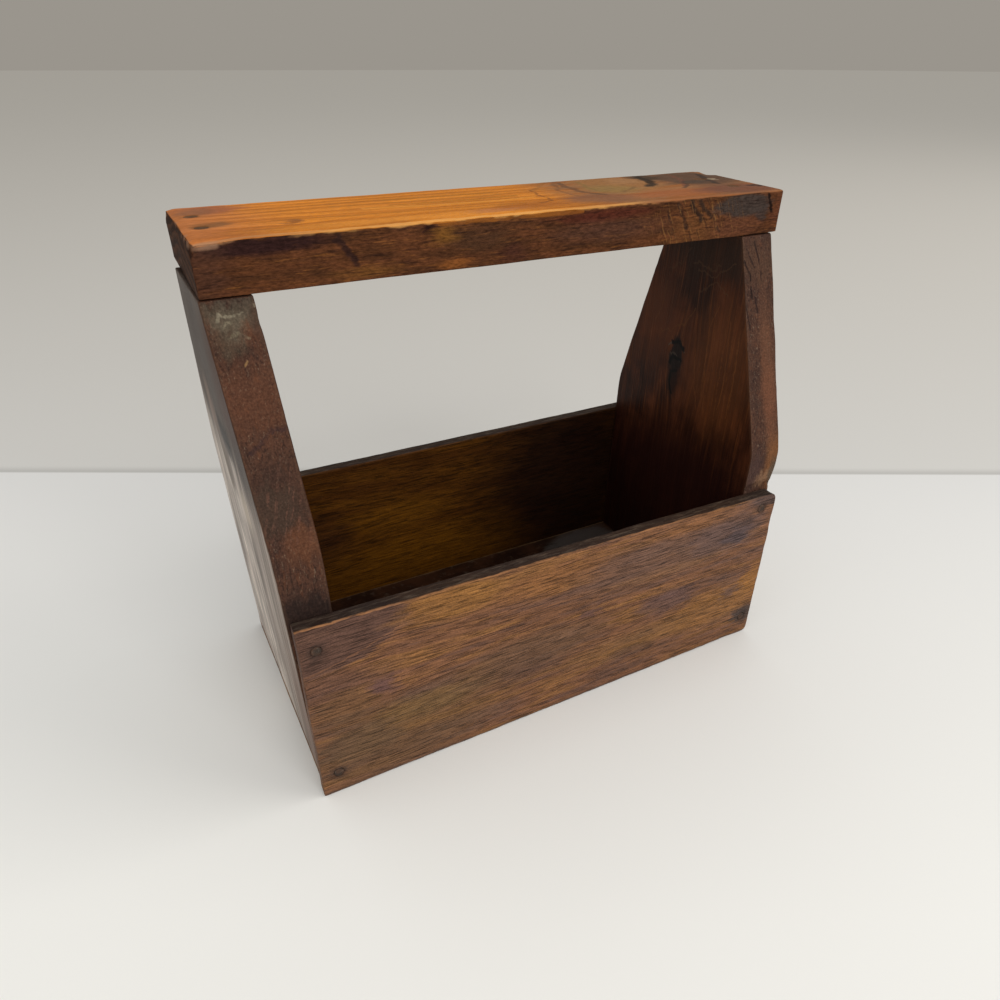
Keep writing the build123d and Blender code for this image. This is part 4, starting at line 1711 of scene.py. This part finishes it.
@dataclass
class Studio:
    """Pale floor, soft light and the camera at the photograph's viewing angle."""

    eye: tuple[float, float, float] = (-150.44, -290.45, 287.58)
    heading: float = 26.932  # degrees from +Y towards +X
    dip: float = 31.375  # degrees below the horizon
    roll: float = 0.142
    focal_pixels: float = 715.48  # focal length, in pixels of a frame 1000 wide
    # The far floor's tone and the wall tones hold painted shade: greyer further off, darker upwards, with a
    # painted shadow at the wall's foot.
    floor_white: str = "#efeeea"
    floor_far: str = "#d9d8d6"
    wall_low: str = "#cdcbc7"
    wall_high: str = "#bcb7af"
    wall_top: str = "#9a958d"
    wall_line: float = 512.0  # ground distance from the eye to where the far floor greys
    wall_slope: float = 0.56  # eye height over ground distance where the wall tone is lowest
    line_blur: float = 3.0  # how far the far floor's edge is blurred
    line_shade: float = 0.78  # how dark the wall's foot is
    floor_half: float = 40.0  # half width of the floor, in metres
    fill_tone: str = "#eeeeec"
    fill_strength: float = 0.84
    aim_height: float = 0.11  # height that the lamps look at, in metres

    def build(self) -> None:
        """Builds the floor, the lights, the world and the camera."""
        self.floor()
        self.lights()
        self.world()
        self.camera()
        bpy.context.scene.view_settings.view_transform = "Standard"

    def camera(self) -> None:
        """Places the camera."""
        turn, dip, roll = (math.radians(a) for a in (self.heading, self.dip, self.roll))
        ahead = Vector((math.sin(turn) * math.cos(dip), math.cos(turn) * math.cos(dip), -math.sin(dip)))
        right = Vector((math.cos(turn), -math.sin(turn), 0.0))
        above = right.cross(ahead)
        right_rolled = right * math.cos(roll) + above * math.sin(roll)
        above_rolled = above * math.cos(roll) - right * math.sin(roll)
        lens = bpy.data.cameras.new("camera")
        lens.sensor_width = 36.0
        lens.lens = 36.0 * self.focal_pixels / 1000
        lens.clip_start = 0.01
        camera = bpy.data.objects.new("camera", lens)
        axes = Matrix((right_rolled, above_rolled, -ahead)).transposed()
        camera.matrix_world = Matrix.Translation(Vector(self.eye) * MM) @ axes.to_4x4()
        bpy.context.scene.collection.objects.link(camera)
        bpy.context.scene.camera = camera

    def floor(self) -> None:
        """Lays the floor with painted shade: it greys away from the object, and further off a far wall is
        painted on it, darker upwards, with a painted shadow along its foot.
        """
        half = self.floor_half
        mesh = bpy.data.meshes.new("floor")
        corners = [(-half, -half, 0), (half, -half, 0), (half, half, 0), (-half, half, 0)]
        mesh.from_pydata(corners, [], [(0, 1, 2, 3)])
        floor = bpy.data.objects.new("floor", mesh)
        bpy.context.scene.collection.objects.link(floor)
        paint = bpy.data.materials.new("matt_table_paint")
        paint.use_nodes = True
        tree = paint.node_tree
        tree.nodes.clear()
        place = add(tree, PLACE, out="Object")
        eye = Vector(self.eye) * MM
        turn = math.radians(self.heading)
        ahead = Vector((math.sin(turn), math.cos(turn), 0.0))
        away = add(tree, VECTOR, {0: place, 1: (eye.x, eye.y, 0.0)}, operation="SUBTRACT")
        reach = add(tree, VECTOR, {0: away, 1: ahead}, "Value", operation="DOT_PRODUCT")
        line = self.wall_line * MM
        links = {"Value": reach, "From Min": line, "From Max": line + self.line_blur * MM}
        far = add(tree, RANGE, links, interpolation_type="SMOOTHSTEP")
        near = add(tree, MATH, {0: eye.z, 1: reach}, operation="DIVIDE")
        # Painted shade: the painted wall darkens upwards.
        low = add(tree, RANGE, {"Value": near, "From Min": 0.0, "From Max": self.wall_slope})
        links = {AMOUNT: low, UNDER: linear(self.wall_high), OVER: linear(self.wall_low)}
        wall = add(tree, MIX, links, MIXED, data_type="RGBA")
        # Painted shade: the table greys away from the object.
        deep = add(tree, RANGE, {"Value": reach, "From Min": 0.3 * line, "From Max": line})
        links = {AMOUNT: deep, UNDER: linear(self.floor_white), OVER: linear(self.floor_far)}
        table = add(tree, MIX, links, MIXED, data_type="RGBA")
        links = {AMOUNT: far, UNDER: table, OVER: wall}
        colour = add(tree, MIX, links, MIXED, data_type="RGBA")
        # Painted shadow along the wall's foot.
        links = {"Value": reach, "From Min": line + 1 * MM, "From Max": line + 14 * MM}
        links |= {"To Min": self.line_shade, "To Max": 1.0}
        lit = add(tree, RANGE, links, interpolation_type="SMOOTHSTEP")
        low_edge = add(tree, RANGE, {"Value": far, "To Min": 1.0, "To Max": lit})
        colour = add(tree, VECTOR, {0: colour, "Scale": low_edge}, operation="SCALE")
        surface = add(tree, SURFACE, {"Base Color": colour, "Roughness": 0.8, "Specular IOR Level": 0.0})
        add(tree, "ShaderNodeOutputMaterial", {0: surface})
        mesh.materials.append(paint)

    def lights(self) -> None:
        """Hangs one wide soft light on the right and another in front."""
        self.lamp("window", (2.3, -1.0, 2.1), 2.0, 2.0, 28.0, "#fffaf4")
        self.lamp("front", (0.2, -2.7, 1.9), 2.0, 1.6, 34.0, "#ffffff")

    def lamp(
        self, name: str, place: tuple[float, float, float], wide: float, deep: float, watts: float, tone: str
    ) -> None:
        """Hangs one soft light that looks at the tote.

        Args:
            name: the light's name.
            place: where it hangs, in metres.
            wide: width in metres.
            deep: height in metres.
            watts: power.
            tone: colour.
        """
        light = bpy.data.lights.new(name, "AREA")
        light.shape = "RECTANGLE"
        light.size, light.size_y = wide, deep
        light.energy = watts
        light.color = linear(tone)[:3]
        lamp = bpy.data.objects.new(name, light)
        lamp.location = place
        lamp.rotation_mode = "QUATERNION"
        lamp.rotation_quaternion = (Vector((0, 0, self.aim_height)) - Vector(place)).to_track_quat("-Z", "Y")
        bpy.context.scene.collection.objects.link(lamp)

    def world(self) -> None:
        """Fills the shadows from all round."""
        world = bpy.data.worlds.new("room")
        world.use_nodes = True
        tree = world.node_tree
        tree.nodes.clear()
        links = {"Color": linear(self.fill_tone), "Strength": self.fill_strength}
        fill = add(tree, "ShaderNodeBackground", links)
        seen = add(tree, "ShaderNodeBackground", {"Color": linear(self.wall_top)})
        rays = add(tree, "ShaderNodeLightPath").node.outputs
        looks = {0: rays["Is Camera Ray"], 1: rays["Is Glossy Ray"]}
        looked_at = add(tree, MATH, looks, operation="MAXIMUM")
        shade = add(tree, "ShaderNodeMixShader", {0: looked_at, 1: fill, 2: seen})
        add(tree, "ShaderNodeOutputWorld", {0: shade})
        bpy.context.scene.world = world


def main() -> None:
    """Builds the tote and the studio, and reports each piece."""
    logging.basicConfig(level=logging.INFO, format="%(name)s: %(message)s")
    for assembly in (Box(), Ends(), Handle(), Joinery()):
        made = assembly.build()
        log.info("%s: %d pieces", type(assembly).__name__, len(made))
    Studio().build()


if __name__ == "__main__":
    main()
